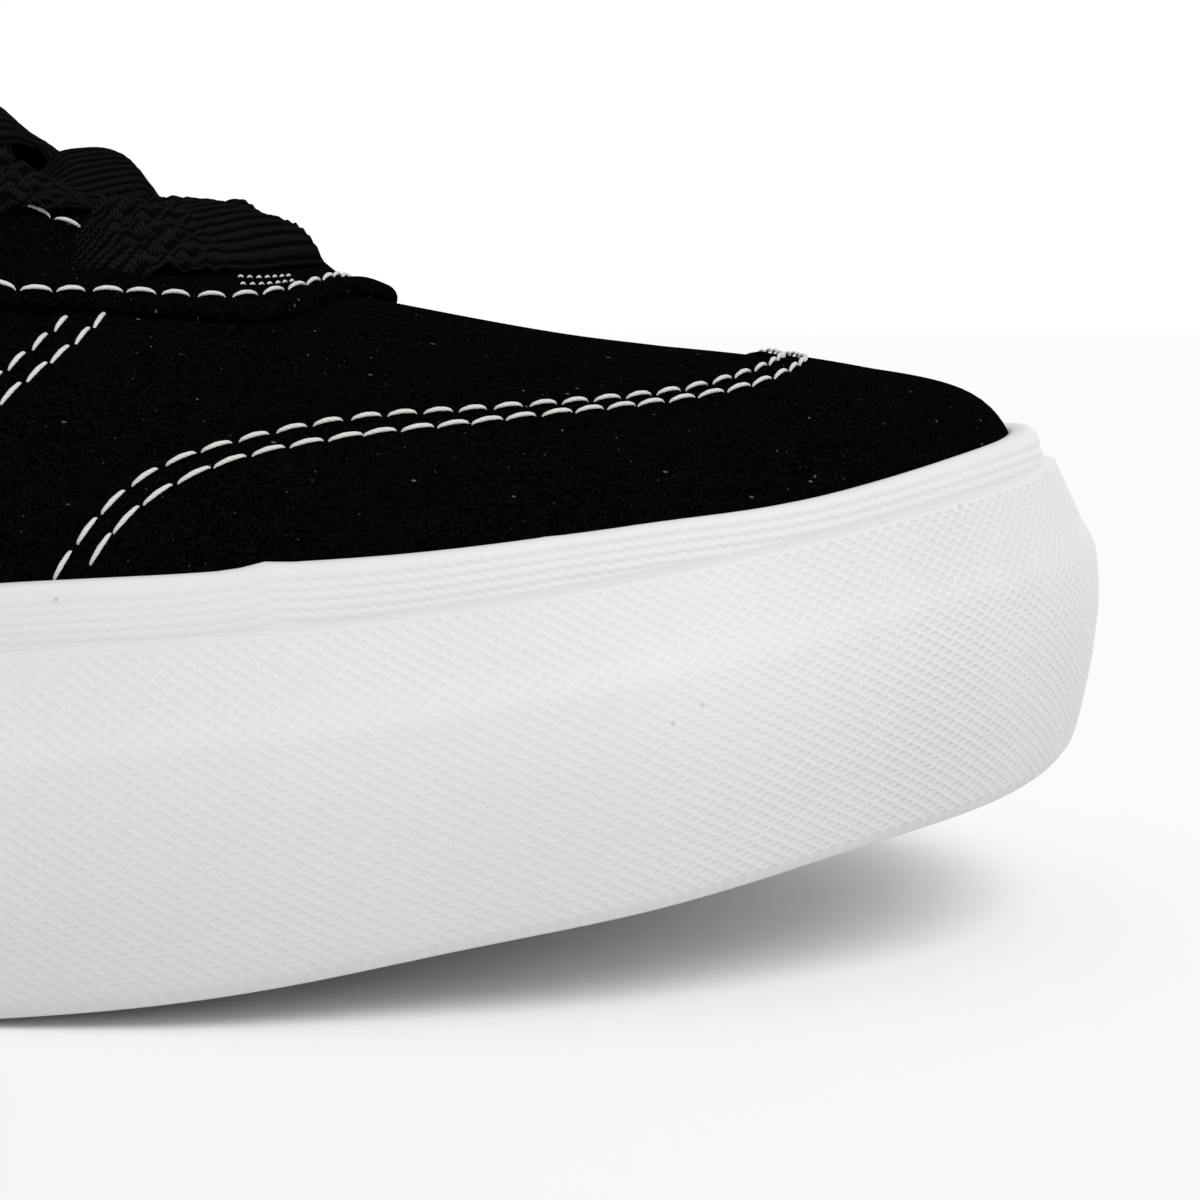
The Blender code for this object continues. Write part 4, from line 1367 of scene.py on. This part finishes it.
def make_stay():
    """Overlay round the throat, with punched eyelets."""
    first = STAY_WIDTH[0][0]
    fine = np.linspace(first, STAY_WIDTH[-1][0], STAY_POINTS)
    edge = line_below(fine, np.maximum(column_at(STAY_WIDTH, fine), 0.0))
    rim_places = np.linspace(first, THROAT_FRONT, STAY_POINTS)
    rim = (rim_places, np.ones_like(rim_places))
    near = [*EDGE_STEPS, 0.7, 1.0, 1.3]
    places, shares = between(edge, rim, spacing=0.5, near=near, steps=34, far=EDGE_STEPS)
    shares[:, -1] = 1.0
    shares[-1] = 1.0
    base = upper_points(places, shares)
    to_rim = away_from(base, rim)
    lift = rounded(away_from(base, edge), STAY_LIFT, STAY_UNDER, STAY_ROUND)
    lift = np.minimum(lift, rounded(to_rim, STAY_LIFT, STAY_UNDER))
    nose = np.hypot((base[..., 0] - STAY_NOSE_AT) / STAY_NOSE_LONG, base[..., 1] / STAY_NOSE_WIDE)
    at_front = np.exp(-(base[..., 1] / RIM_RISE_WIDE) ** 2)
    at_front = at_front * smooth(RIM_RISES_FROM, RIM_RISES_TO, base[..., 0])
    lift = lift + STAY_NOSE * np.exp(-nose**2) - pulled(away_from(base, ROW_STAY))
    lift = lift + RIM_RISE * at_front * np.exp(-(to_rim / RIM_RISE_DEEP) ** 2)
    lift = lift - pulled(to_rim - STAY_ROW_INNER) * (places < INNER_ROW_END)
    for index in range(EYELET_PAIRS):
        away = np.linalg.norm(base - eyelet_middle(index), axis=-1)
        lift = lift - HOLE_DEEP * (1 - smooth(HOLE_RADIUS - HOLE_SOFT, HOLE_RADIUS + HOLE_SOFT, away))
    under = np.minimum(STAY_UNDER, lift - STAY_THINNEST)
    return make_sheet("eyestay_suede", places, shares, lift, under, np.zeros(len(places), bool), "eyestay")


COLLAR_CREST = 1.4
COLLAR_PAD_END = 4.0
COLLAR_PAD_START = 5.6
PAD_SPACING = 1.6
PAD_THINNEST = 0.5
PAD_NEAR_TOP = 0.97
PAD_BELOW_TOP = 0.2
PAD_OVER_RIM = 0.9
PAD_DOWN = 0.5
PAD_CLEAR = 0.15
PAD_FALLS_FROM = 0.35
PAD_BACK = 0.6


def make_collar_pad():
    """Padded lining of the collar, from the rim down inside the heel."""
    places = even_places(-COLLAR_PAD_START, COLLAR_PAD_START, PAD_SPACING)
    full = 1 - smooth(COLLAR_PAD_END, COLLAR_PAD_START, np.abs(places))
    thick = PAD_THINNEST + (COLLAR_THICK - SHELL_THICK) * full
    _, climb = upper_slopes(places, np.full_like(places, PAD_NEAR_TOP))
    per_share = np.linalg.norm(climb, axis=1)
    # Round over the rim, down the puffed face, then up the back
    rows = []
    for angle in np.linspace(0, np.pi, 11):
        inward = SHELL_THICK + thick / 2 * (1 - np.cos(angle)) - PAD_OVER_RIM * max(np.cos(angle), 0) ** 2
        share = 1 - (thick / 2 * (1 - np.sin(angle)) + PAD_BELOW_TOP) / per_share
        row = off_upper(places, share, -inward)
        row[:, 2] += COLLAR_CREST * full * np.sin(angle)
        rows.append(row)
    face_top = 1 - (thick / 2 + PAD_BELOW_TOP) / per_share
    for f in np.linspace(0, 1, 22)[1:]:
        puff = SHELL_THICK + thick * (1 - smooth(PAD_FALLS_FROM, 1.0, f)) + PAD_CLEAR
        rows.append(off_upper(places, face_top - f * PAD_DOWN, -puff))
    for f in np.linspace(1, 0, 5):
        rows.append(off_upper(places, face_top - f * PAD_DOWN, PAD_BACK - SHELL_THICK))
    points = np.stack(rows, axis=1)
    pile = Pile()
    numbers = pile.add(points, lay_of(points))
    pile.quads(numbers, close_rows=True)
    for end in (0, -1):
        pile.cap(numbers[end])
    pile.make("collar_padding", [LINING], "lining", fill=0.7)


# Sewing

STITCH_PITCH = (3.3, 3.3)
TOE_PITCH = (3.6, 3.0)
STITCH_FILL = 0.86
STITCH_STEPS = 13
STITCH_SIDES = 9
STITCH_PLY = 3
STITCH_BOW = 0.28
STITCH_SINK = 0.30
STITCH_FLAT = 0.85
STITCH_TIP = 0.30
THREAD_RADIUS = 0.23
THREAD_TURNS = 0.9
THREAD_LOBES = 0.06
TACK = {"fill": 0.75, "pitch": (0.95, 0.95), "bow": 0.10, "radius": 0.15}
TACK_PLACES = np.linspace(8.7, 9.4, 60)
TACK_ROWS = [(7.5, 7), (9.3, 8)]
INNER_SEED = 50
COLLAR_ROW_BELOW = 4.0
REAR_ROW_PLACE = THROAT_CORNER + 0.1
REAR_ROW_CLEAR = 2.6
ROWS_START_AT = 7.3
ROWS_START_BELOW = 0.005


def thread_mesh(pile, starts, ends, normals, bow=STITCH_BOW, radius=THREAD_RADIUS):
    """Adds one rounded, twisted stitch from each start to each end."""
    run = ends - starts
    length = np.linalg.norm(run, axis=1)
    ahead = run / length[:, None]
    up = unit(normals - (normals * ahead).sum(1)[:, None] * ahead)
    aside = np.cross(ahead, up)
    f = np.linspace(0, 1, STITCH_STEPS)
    high = -STITCH_SINK + (STITCH_SINK + bow) * np.sin(np.pi * f) ** 0.45
    slim = STITCH_TIP + (1 - STITCH_TIP) * np.sin(np.pi * f) ** 0.55
    turn = np.linspace(0, TURN, STITCH_SIDES, endpoint=False)
    core = starts[:, None] + f[None, :, None] * run[:, None] + high[None, :, None] * up[:, None]
    twist = TURN * THREAD_TURNS * f
    lobes = 1 + THREAD_LOBES * np.cos(STITCH_PLY * (turn[None] - twist[:, None]))
    r = radius * slim[:, None] * lobes
    ring = core[:, :, None] + (r * np.cos(turn))[None, :, :, None] * aside[:, None, None]
    ring = ring + (STITCH_FLAT * r * np.sin(turn))[None, :, :, None] * up[:, None, None]
    lay = np.zeros(ring.shape[:-1] + (2,))
    lay[..., 0] = f[None, :, None] * length[:, None, None]
    lay[..., 1] = turn[None, None] * radius
    numbers = pile.add(ring, lay)
    tips = pile.add(core[:, [0, -1]])
    closed = np.concatenate([numbers, numbers[:, :, :1]], axis=2)
    pile.add_faces(np.stack(corners(closed), axis=-1).reshape(-1, 4))
    for end in (0, -1):
        row = closed[:, end]
        tip = np.broadcast_to(tips[:, end, None], row[:, 1:].shape)
        pile.add_faces(np.stack([tip, row[:, :-1], row[:, 1:]], axis=-1).reshape(-1, 3))


def sew(pile, line, lift, pitch=STITCH_PITCH, slant=0.0, seed=0, across=False, **kind):
    """Sews a row of stitches along a line on the upper, and along its mirror on the inner side.

    A row that goes across the middle of the shoe is sewn in one run.
    """
    place, share = line
    if across:
        whole = (mirrored(place), doubled(share))
        sew_line(pile, whole, lift, (*pitch, pitch[0]), slant, seed, **kind)
        return
    sew_line(pile, line, lift, pitch, slant, seed, **kind)
    sew_line(pile, (LOOP - place, share), lift, pitch, -slant, seed + INNER_SEED, **kind)


def sew_line(pile, line, lift, pitch=STITCH_PITCH, slant=0.0, seed=0, fill=STITCH_FILL, shift=0.0, **kind):
    """Sews one row. The pitch is given at the start and the end, and may be given between them."""
    points = dressed(*line, lift)
    run = run_of(points)
    count = int(run[-1] / np.mean(pitch))
    draw = np.random.default_rng(SEED + seed)
    pitches = np.interp(np.linspace(0, 1, count), np.linspace(0, 1, len(pitch)), pitch)
    first = summed(pitches)[:-1] + (shift + draw.uniform(-0.04, 0.04, count)) * pitches
    last = first + pitches * fill * draw.uniform(0.95, 1.03, count)
    keep = last < run[-1]
    first = first[keep]
    last = last[keep]
    starts = interpolated(first, run, points)
    ends = interpolated(last, run, points)
    up = interpolated((first + last) / 2, run, upper_normals(*line))
    aside = slant * np.cross(up, ends - starts)
    thread_mesh(pile, starts - aside, ends + aside, up, **kind)


def above(line, share):
    """Part of a line that lies above a share of the ribs."""
    keep = line[1] >= share
    return line[0][keep], line[1][keep]


def make_stitches():
    """All rows of stitches, one piece to each part of the upper."""
    low = float(strip_top_share(np.array([ROWS_START_AT]))[0]) - ROWS_START_BELOW
    toe, quarter, stay, collar = (Pile() for _ in range(4))
    upper, lower, front, rear = (above(row, low) for row in (ROW_UPPER, ROW_LOWER, ROW_FRONT, ROW_REAR))
    sew(toe, upper, TOE_LIFT, TOE_PITCH, slant=0.02, seed=1, across=True, fill=0.88)
    sew(toe, lower, TOE_LIFT, TOE_PITCH, slant=0.03, seed=2, across=True, fill=0.97, shift=0.4)
    sew(quarter, front, VAMP_LIFT, slant=0.06, seed=3, fill=1.0)
    sew(quarter, rear, VAMP_LIFT, slant=0.06, seed=4, shift=0.5)
    sew(stay, ROW_STAY, STAY_LIFT, seed=5, across=True, fill=0.88, shift=0.61)
    inner = line_below(np.linspace(THROAT_CORNER + 0.15, INNER_ROW_END, 200), STAY_ROW_INNER)
    sew(stay, inner, STAY_LIFT, seed=6, fill=0.9)
    down = np.linspace(STAY_ROW_INNER, STAY_WIDTH[0][1] - REAR_ROW_CLEAR, 100)
    sew(stay, line_below(np.full(len(down), REAR_ROW_PLACE), down), STAY_LIFT, seed=10, fill=0.88)
    for below, seed in TACK_ROWS:
        sew(stay, line_below(TACK_PLACES, below), STAY_LIFT, seed=seed, **TACK)
    rim = np.linspace(-THROAT_CORNER + 0.1, THROAT_CORNER - 0.1, 500)
    sew_line(collar, line_below(rim, COLLAR_ROW_BELOW), SHELL_LIFT, seed=9)
    for name, pile in (("toe", toe), ("quarter", quarter), ("stay", stay), ("collar", collar)):
        pile.make(f"stitches_{name}", [THREAD], "thread")


# Tongue

TONGUE_ROWS = 110
TONGUE_ACROSS = 61
TONGUE_GATHER = 1.6
TONGUE_CORNER = 9.0
TONGUE_HALF_THINNEST = 0.7
TONGUE_SEAM_AT = 0.80
TONGUE_SEAM_WIDE = 0.045
TONGUE_SEAM_DEEP = 0.5
TONGUE_WAVES = Waves(SEED + 3, [31, 24, 17, 13], 0.35)


def make_tongue():
    """Padded tongue: a ridged sheet, puffed between its seams, with a rounded top."""
    first = TONGUE[0][0]
    # Rows gather at the rounded top
    along = first + (TONGUE[-1][0] - first) * np.linspace(0, 1, TONGUE_ROWS) ** TONGUE_GATHER
    high, half_wide, fall = (column_at(TONGUE, along, column)[:, None] for column in (1, 2, 3))
    along = along[:, None]
    w = np.linspace(-1, 1, TONGUE_ACROSS)[None]
    end = np.clip((along - first) / TONGUE_CORNER, 0, 1)
    corner = TONGUE_CORNER * (1 - np.sqrt(1 - (1 - end) ** 2))
    share = w * (1 - corner / half_wide)
    spine = np.stack(np.broadcast_arrays(along, share * half_wide, high - fall * share**2), axis=-1)
    climb = np.gradient(high, along[:, 0], axis=0) - np.gradient(fall, along[:, 0], axis=0) * share**2
    lean = -2 * fall * share / half_wide
    normal = unit(np.stack([-climb, -lean, np.ones_like(lean)], axis=-1))
    puff = (1 - np.abs(w) ** 3.0) ** 0.6 * np.sqrt(np.clip(end * 1.2 + 0.02, 0, 1))
    seam = 1 - TONGUE_SEAM_DEEP * np.exp(-((np.abs(w) - TONGUE_SEAM_AT) / TONGUE_SEAM_WIDE) ** 2)
    half = TONGUE_HALF_THINNEST + (TONGUE_THICK / 2 - TONGUE_HALF_THINNEST) * puff * seam
    soft = TONGUE_WAVES.at(spine) * smooth(0, 0.4, 1 - np.abs(w))
    middle = spine - normal * (TONGUE_THICK / 2)
    pile = Pile()
    layers = []
    for height in (soft + half, soft - half):
        points = middle + normal * height[..., None]
        layers.append(pile.add(points, lay_of(points)))
        pile.quads(layers[-1])
    over, below = layers
    for end_row in (0, -1):
        pile.join(over[end_row], below[end_row])
        pile.join(over[:, end_row], below[:, end_row])
    return pile.make("tongue_padded", [TONGUE_CLOTH], "lining", "tongue", fill=0.7)


# Laces

DRAPE_CELL = 1.0
DRAPE_REACH = 2
DRAPE_ALONG = (-25.0, 80.0)
DRAPE_ACROSS = (-35.0, 35.0)
LACE_STEPS = 130
LACE_LIFT = 0.15
LACE_FLAT = 0.8
LACE_LOWER_POINTS = 14
CORD_HIGH = 0.13
CORD_POINTS = 4
BAR_STEPS = 300
BAR_BOW = 16.2
BAR_SKEW = 3.0
SKEW_REACH = 9.0
CROSS_BOW = 4.0
CROSS_BOW_UNDER = 0.3
FIRST_AHEAD = 4.5
BOW_POWER = 0.75
ARCH_POWER = 0.8
ROLL_POWER = 2.2
SAG_HIGH = 0.10
SAG_WAVE = 0.35
# An end in an eyelet narrows and dives, with rounded corners, and one under the eyestay only slopes down
END_ROUND = 1.7
END_NARROWS = 0.30
END_NARROWS_OVER = 5.5
DIVE_DEEP = 5.2
DIVE_FROM = -0.8
DIVE_TO = 2.8
DIVE_POWER = 1.5
TUCK_DEEP = 4.0
TUCK_OVER = 4.5
TUCK_POWER = 1.3
# Creases near an eyelet, which are weaker on the inner side: height, turn across the lace, turn along it
CREASES = [(0.38, 2.3 * TURN, 0.8), (0.36, 5.3 * TURN, -2.2), (0.30, 7.0, 4.3), (0.20, 7.1 * TURN, 3.4)]
CREASE_FROM = 3.0
CREASE_REACH = 11.0
CREASE_TIP = (0.3, 2.6)
INNER_CREASE = 0.3
LACE_SEED = SEED + 20


def over_disc(values, radius, combine):
    """Combines each value of a grid with its neighbours within a radius, in cells."""
    steps = range(-radius, radius + 1)
    shifts = [(i, j) for i in steps for j in steps if i * i + j * j <= radius * radius]
    return combine([np.roll(values, shift, axis=(0, 1)) for shift in shifts], axis=0)


class Drape:
    """Smooth height over the throat that stays clear of every piece under it."""

    def __init__(self, pieces):
        self.x = np.arange(*DRAPE_ALONG, DRAPE_CELL)
        self.y = np.arange(*DRAPE_ACROSS, DRAPE_CELL)
        bpy.context.view_layer.update()
        graph = bpy.context.evaluated_depsgraph_get()
        trees = [BVHTree.FromObject(obj, graph) for obj in pieces]
        down = Vector((0, 0, -1))
        high = np.zeros((len(self.x), len(self.y)))
        for i, x in enumerate(self.x):
            for j, y in enumerate(self.y):
                start = Vector((x * MM, y * MM, 1.0))
                hits = [tree.ray_cast(start, down)[0] for tree in trees]
                high[i, j] = max([hit.z / MM for hit in hits if hit], default=0.0)
        raised = over_disc(high, DRAPE_REACH, np.max)
        self.high = over_disc(raised, DRAPE_REACH, np.mean)

    def at(self, plan):
        f = (plan[..., 0] - self.x[0]) / DRAPE_CELL
        g = (plan[..., 1] - self.y[0]) / DRAPE_CELL
        i = np.clip(f.astype(int), 0, len(self.x) - 2)
        j = np.clip(g.astype(int), 0, len(self.y) - 2)
        f = f - i
        g = g - j
        h = self.high
        low = h[i, j] * (1 - f) + h[i + 1, j] * f
        high = h[i, j + 1] * (1 - f) + h[i + 1, j + 1] * f
        return low * (1 - g) + high * g


def add_ribbon(pile, start, end, bow, drape, front, rear, seed, tucked=True, steps=LACE_STEPS, skew=0.0):
    """Adds one flat lace, laid over the tongue and the eyestay. Its end is in an eyelet.

    Its start is tucked under the eyestay or is in an eyelet too. Front and rear are how far its two edges
    rise at the middle. It rolls over toward the front edge. Skew is how far the rear edge goes back past
    the front edge at both ends.
    """
    f = np.linspace(0, 1, steps)[:, None]
    path = start * (1 - f) + end * f
    path[:, :1] += bow * (4 * f * (1 - f)) ** BOW_POWER
    run = np.gradient(path, axis=0)
    length = np.linalg.norm(run, axis=1).sum()
    run = unit(run)
    aside = np.stack([-run[:, 1], run[:, 0]], axis=1)
    from_start = f * length
    from_end = (1 - f) * length
    # Across the lace: the upper face with its cords, then back along the lower face
    w_top = np.linspace(-0.5, 0.5, LACE_CORDS * CORD_POINTS + 1)
    w_low = np.linspace(0.5, -0.5, LACE_LOWER_POINTS)[1:-1]
    w = np.concatenate([w_top, w_low])[None]
    face = np.concatenate([np.ones_like(w_top), -np.ones_like(w_low)])[None]
    edge = np.sqrt(np.clip(1 - np.abs(2 * w) ** 6, 0.02, 1))
    half_thick = LACE_THICK / 2 * LACE_FLAT
    cords = CORD_HIGH * np.cos(TURN * LACE_CORDS * w) * (face > 0)
    narrow = np.ones_like(f)
    drop = np.zeros((steps, w.shape[1]))
    creased = np.zeros_like(drop)
    ends = [(from_start, start[1]), (from_end, end[1])]
    for gone, side in ends[1:] if tucked else ends:
        narrow = narrow * (1 - END_NARROWS * (1 - smooth(0.0, END_NARROWS_OVER, gone)))
        inside = gone - END_ROUND * (2 * w) ** 4
        drop += DIVE_DEEP * (1 - smooth(DIVE_FROM, DIVE_TO, inside)) ** DIVE_POWER
        near = (1 - smooth(CREASE_FROM, CREASE_REACH, gone)) * smooth(*CREASE_TIP, inside)
        creased += near * (1.0 if side < 0 else INNER_CREASE)
    if tucked:
        drop += TUCK_DEEP * (1 - smooth(0.0, TUCK_OVER, from_start)) ** TUCK_POWER
    plan = path[:, None] + (w * LACE_WIDE * narrow)[..., None] * aside[:, None]
    for way, gone in ((-skew, from_start), (skew, from_end)):
        slide = (1 - smooth(0, SKEW_REACH, gone)) * (w + 0.5) * way
        plan = plan + slide[..., None] * run[:, None]
    forward = (0.5 - w * np.sign(end[1] - start[1])) ** ROLL_POWER
    raised = np.sin(np.pi * f) ** ARCH_POWER * (rear + (front - rear) * forward)
    bends = np.random.default_rng(LACE_SEED + seed).uniform(0, TURN, len(CREASES))
    crease = sum(size * np.cos(across * w + bend + along * from_start)
                 for (size, across, along), bend in zip(CREASES, bends))
    sag = SAG_HIGH * np.cos(SAG_WAVE * from_start + bends[-1])
    high = drape.at(plan) + half_thick + LACE_LIFT + raised - drop
    high = high + creased * crease + sag + face * half_thick * edge + cords
    lay = np.stack(np.broadcast_arrays(from_start, w * LACE_WIDE), axis=-1)
    numbers = pile.add(at_height(plan, high), lay)
    pile.quads(numbers, close_rows=True)
    for end_row in (0, -1):
        pile.cap(numbers[end_row])


def make_crossing(name, below, index, side, bow, front, rear, seed, stands_for=None):
    """Lace from under the eyestay on one side to the next eyelet on the other side."""
    pile = Pile()
    start = rim_point(index, side)
    end = eyelet_point(index + 1, -side)
    add_ribbon(pile, start, end, bow, Drape(below), front, rear, seed)
    return pile.make(name, [LACE], "lace", stands_for)


def make_laces(below):
    """One bar in front, then the crossings, each laid over what is under it."""
    pile = Pile()
    add_ribbon(pile, eyelet_point(0, -1), eyelet_point(0, 1), BAR_BOW, Drape(below), front=-1.7, rear=4.8,
               seed=1, tucked=False, steps=BAR_STEPS, skew=BAR_SKEW)
    below = below + [pile.make("lace_bar_woven", [LACE], "lace", "lace_bar")]
    for index in range(EYELET_PAIRS - 1):
        node = f"lace_cross_{index + 1}"
        seed = index * 2 + 2
        one = make_crossing(f"{node}_under", below, index, -1, CROSS_BOW_UNDER, 0.4, 0.6, seed)
        bow = CROSS_BOW if index else CROSS_BOW + FIRST_AHEAD
        two = make_crossing(f"{node}_over", below + [one], index, 1, bow, -1.7, 0.4, seed + 1, node)
        below = below + [one, two]


# Stage

ROOM_LIGHT = 0.605
BACKDROP_LIGHT = 1.02
BACKDROP_FROM = 0.35
BACKDROP_TO = 0.9
FLOOR_REACH = 6.0
SUN_PLACE = (0.48, -0.52, 0.86)
SUN_STRENGTH = 1.5
SUN_SOFTNESS = 40.0

# Camera: the photograph's own close view of the outer side of the toe
CAMERA_PLACE = (95.0, -283.0, 61.0)
CAMERA_PITCH = 84.0
CAMERA_LENS = 83.4
CAMERA_SENSOR = 36.0
CAMERA_NEAR = 0.01


def make_room():
    """Bright backdrop behind the shoe and a dimmer room round it."""
    world = bpy.data.worlds.new("studio")
    bpy.context.scene.world = world
    world.use_nodes = True
    tree = world.node_tree
    sky = tree.nodes["Background"]
    sky.inputs["Color"].default_value = (1.0, 1.0, 1.0, 1.0)
    way = add_node(tree, "ShaderNodeTexCoord", {})
    split = add_node(tree, "ShaderNodeSeparateXYZ", {"Vector": way.outputs["Generated"]})
    inputs = {"Value": split.outputs["Y"], "From Min": BACKDROP_FROM, "From Max": BACKDROP_TO,
              "To Min": ROOM_LIGHT, "To Max": BACKDROP_LIGHT}
    fade = add_node(tree, "ShaderNodeMapRange", inputs, interpolation_type="SMOOTHSTEP")
    tree.links.new(fade.outputs["Result"], sky.inputs["Strength"])
    bpy.context.scene.view_settings.view_transform = "Standard"


def make_floor():
    """Plain pale floor."""
    mesh = bpy.data.meshes.new("floor")
    plan = [(-FLOOR_REACH, -FLOOR_REACH), (FLOOR_REACH, -FLOOR_REACH),
            (FLOOR_REACH, FLOOR_REACH), (-FLOOR_REACH, FLOOR_REACH)]
    mesh.from_pydata([(*corner, 0) for corner in plan], [], [(0, 1, 2, 3)])
    floor = bpy.data.objects.new("floor", mesh)
    bpy.context.scene.collection.objects.link(floor)
    paint = Painter("floor", 0.9, Specular_IOR_Level=0.0)
    soft = paint.noise(paint.place(), 3.0, 2.0, 0.5)
    mesh.materials.append(paint.finish(paint.mix(soft, (0.93, 0.93, 0.93), (0.95, 0.95, 0.95))))


def make_light():
    """One broad soft light that falls evenly on the shoe and the floor."""
    light = bpy.data.lights.new("key", "SUN")
    light.energy = SUN_STRENGTH
    light.angle = np.radians(SUN_SOFTNESS)
    obj = bpy.data.objects.new("key", light)
    bpy.context.scene.collection.objects.link(obj)
    obj.location = SUN_PLACE
    obj.rotation_euler = (-Vector(SUN_PLACE)).to_track_quat("-Z", "Y").to_euler()


def make_camera():
    data = bpy.data.cameras.new("camera")
    data.lens = CAMERA_LENS
    data.sensor_width = CAMERA_SENSOR
    data.clip_start = CAMERA_NEAR
    camera = bpy.data.objects.new("camera", data)
    bpy.context.scene.collection.objects.link(camera)
    camera.location = [value * MM for value in CAMERA_PLACE]
    camera.rotation_euler = (np.radians(CAMERA_PITCH), 0, 0)
    bpy.context.scene.camera = camera


make_camera()
make_room()
make_floor()
make_light()
make_sole_wall()
make_strip()
make_outsole()
make_insole()
shell = make_shell()
vamp = make_vamp()
make_toe_cap()
stay = make_stay()
make_collar_pad()
make_stitches()
tongue = make_tongue()
make_laces([shell, stay, tongue, vamp])
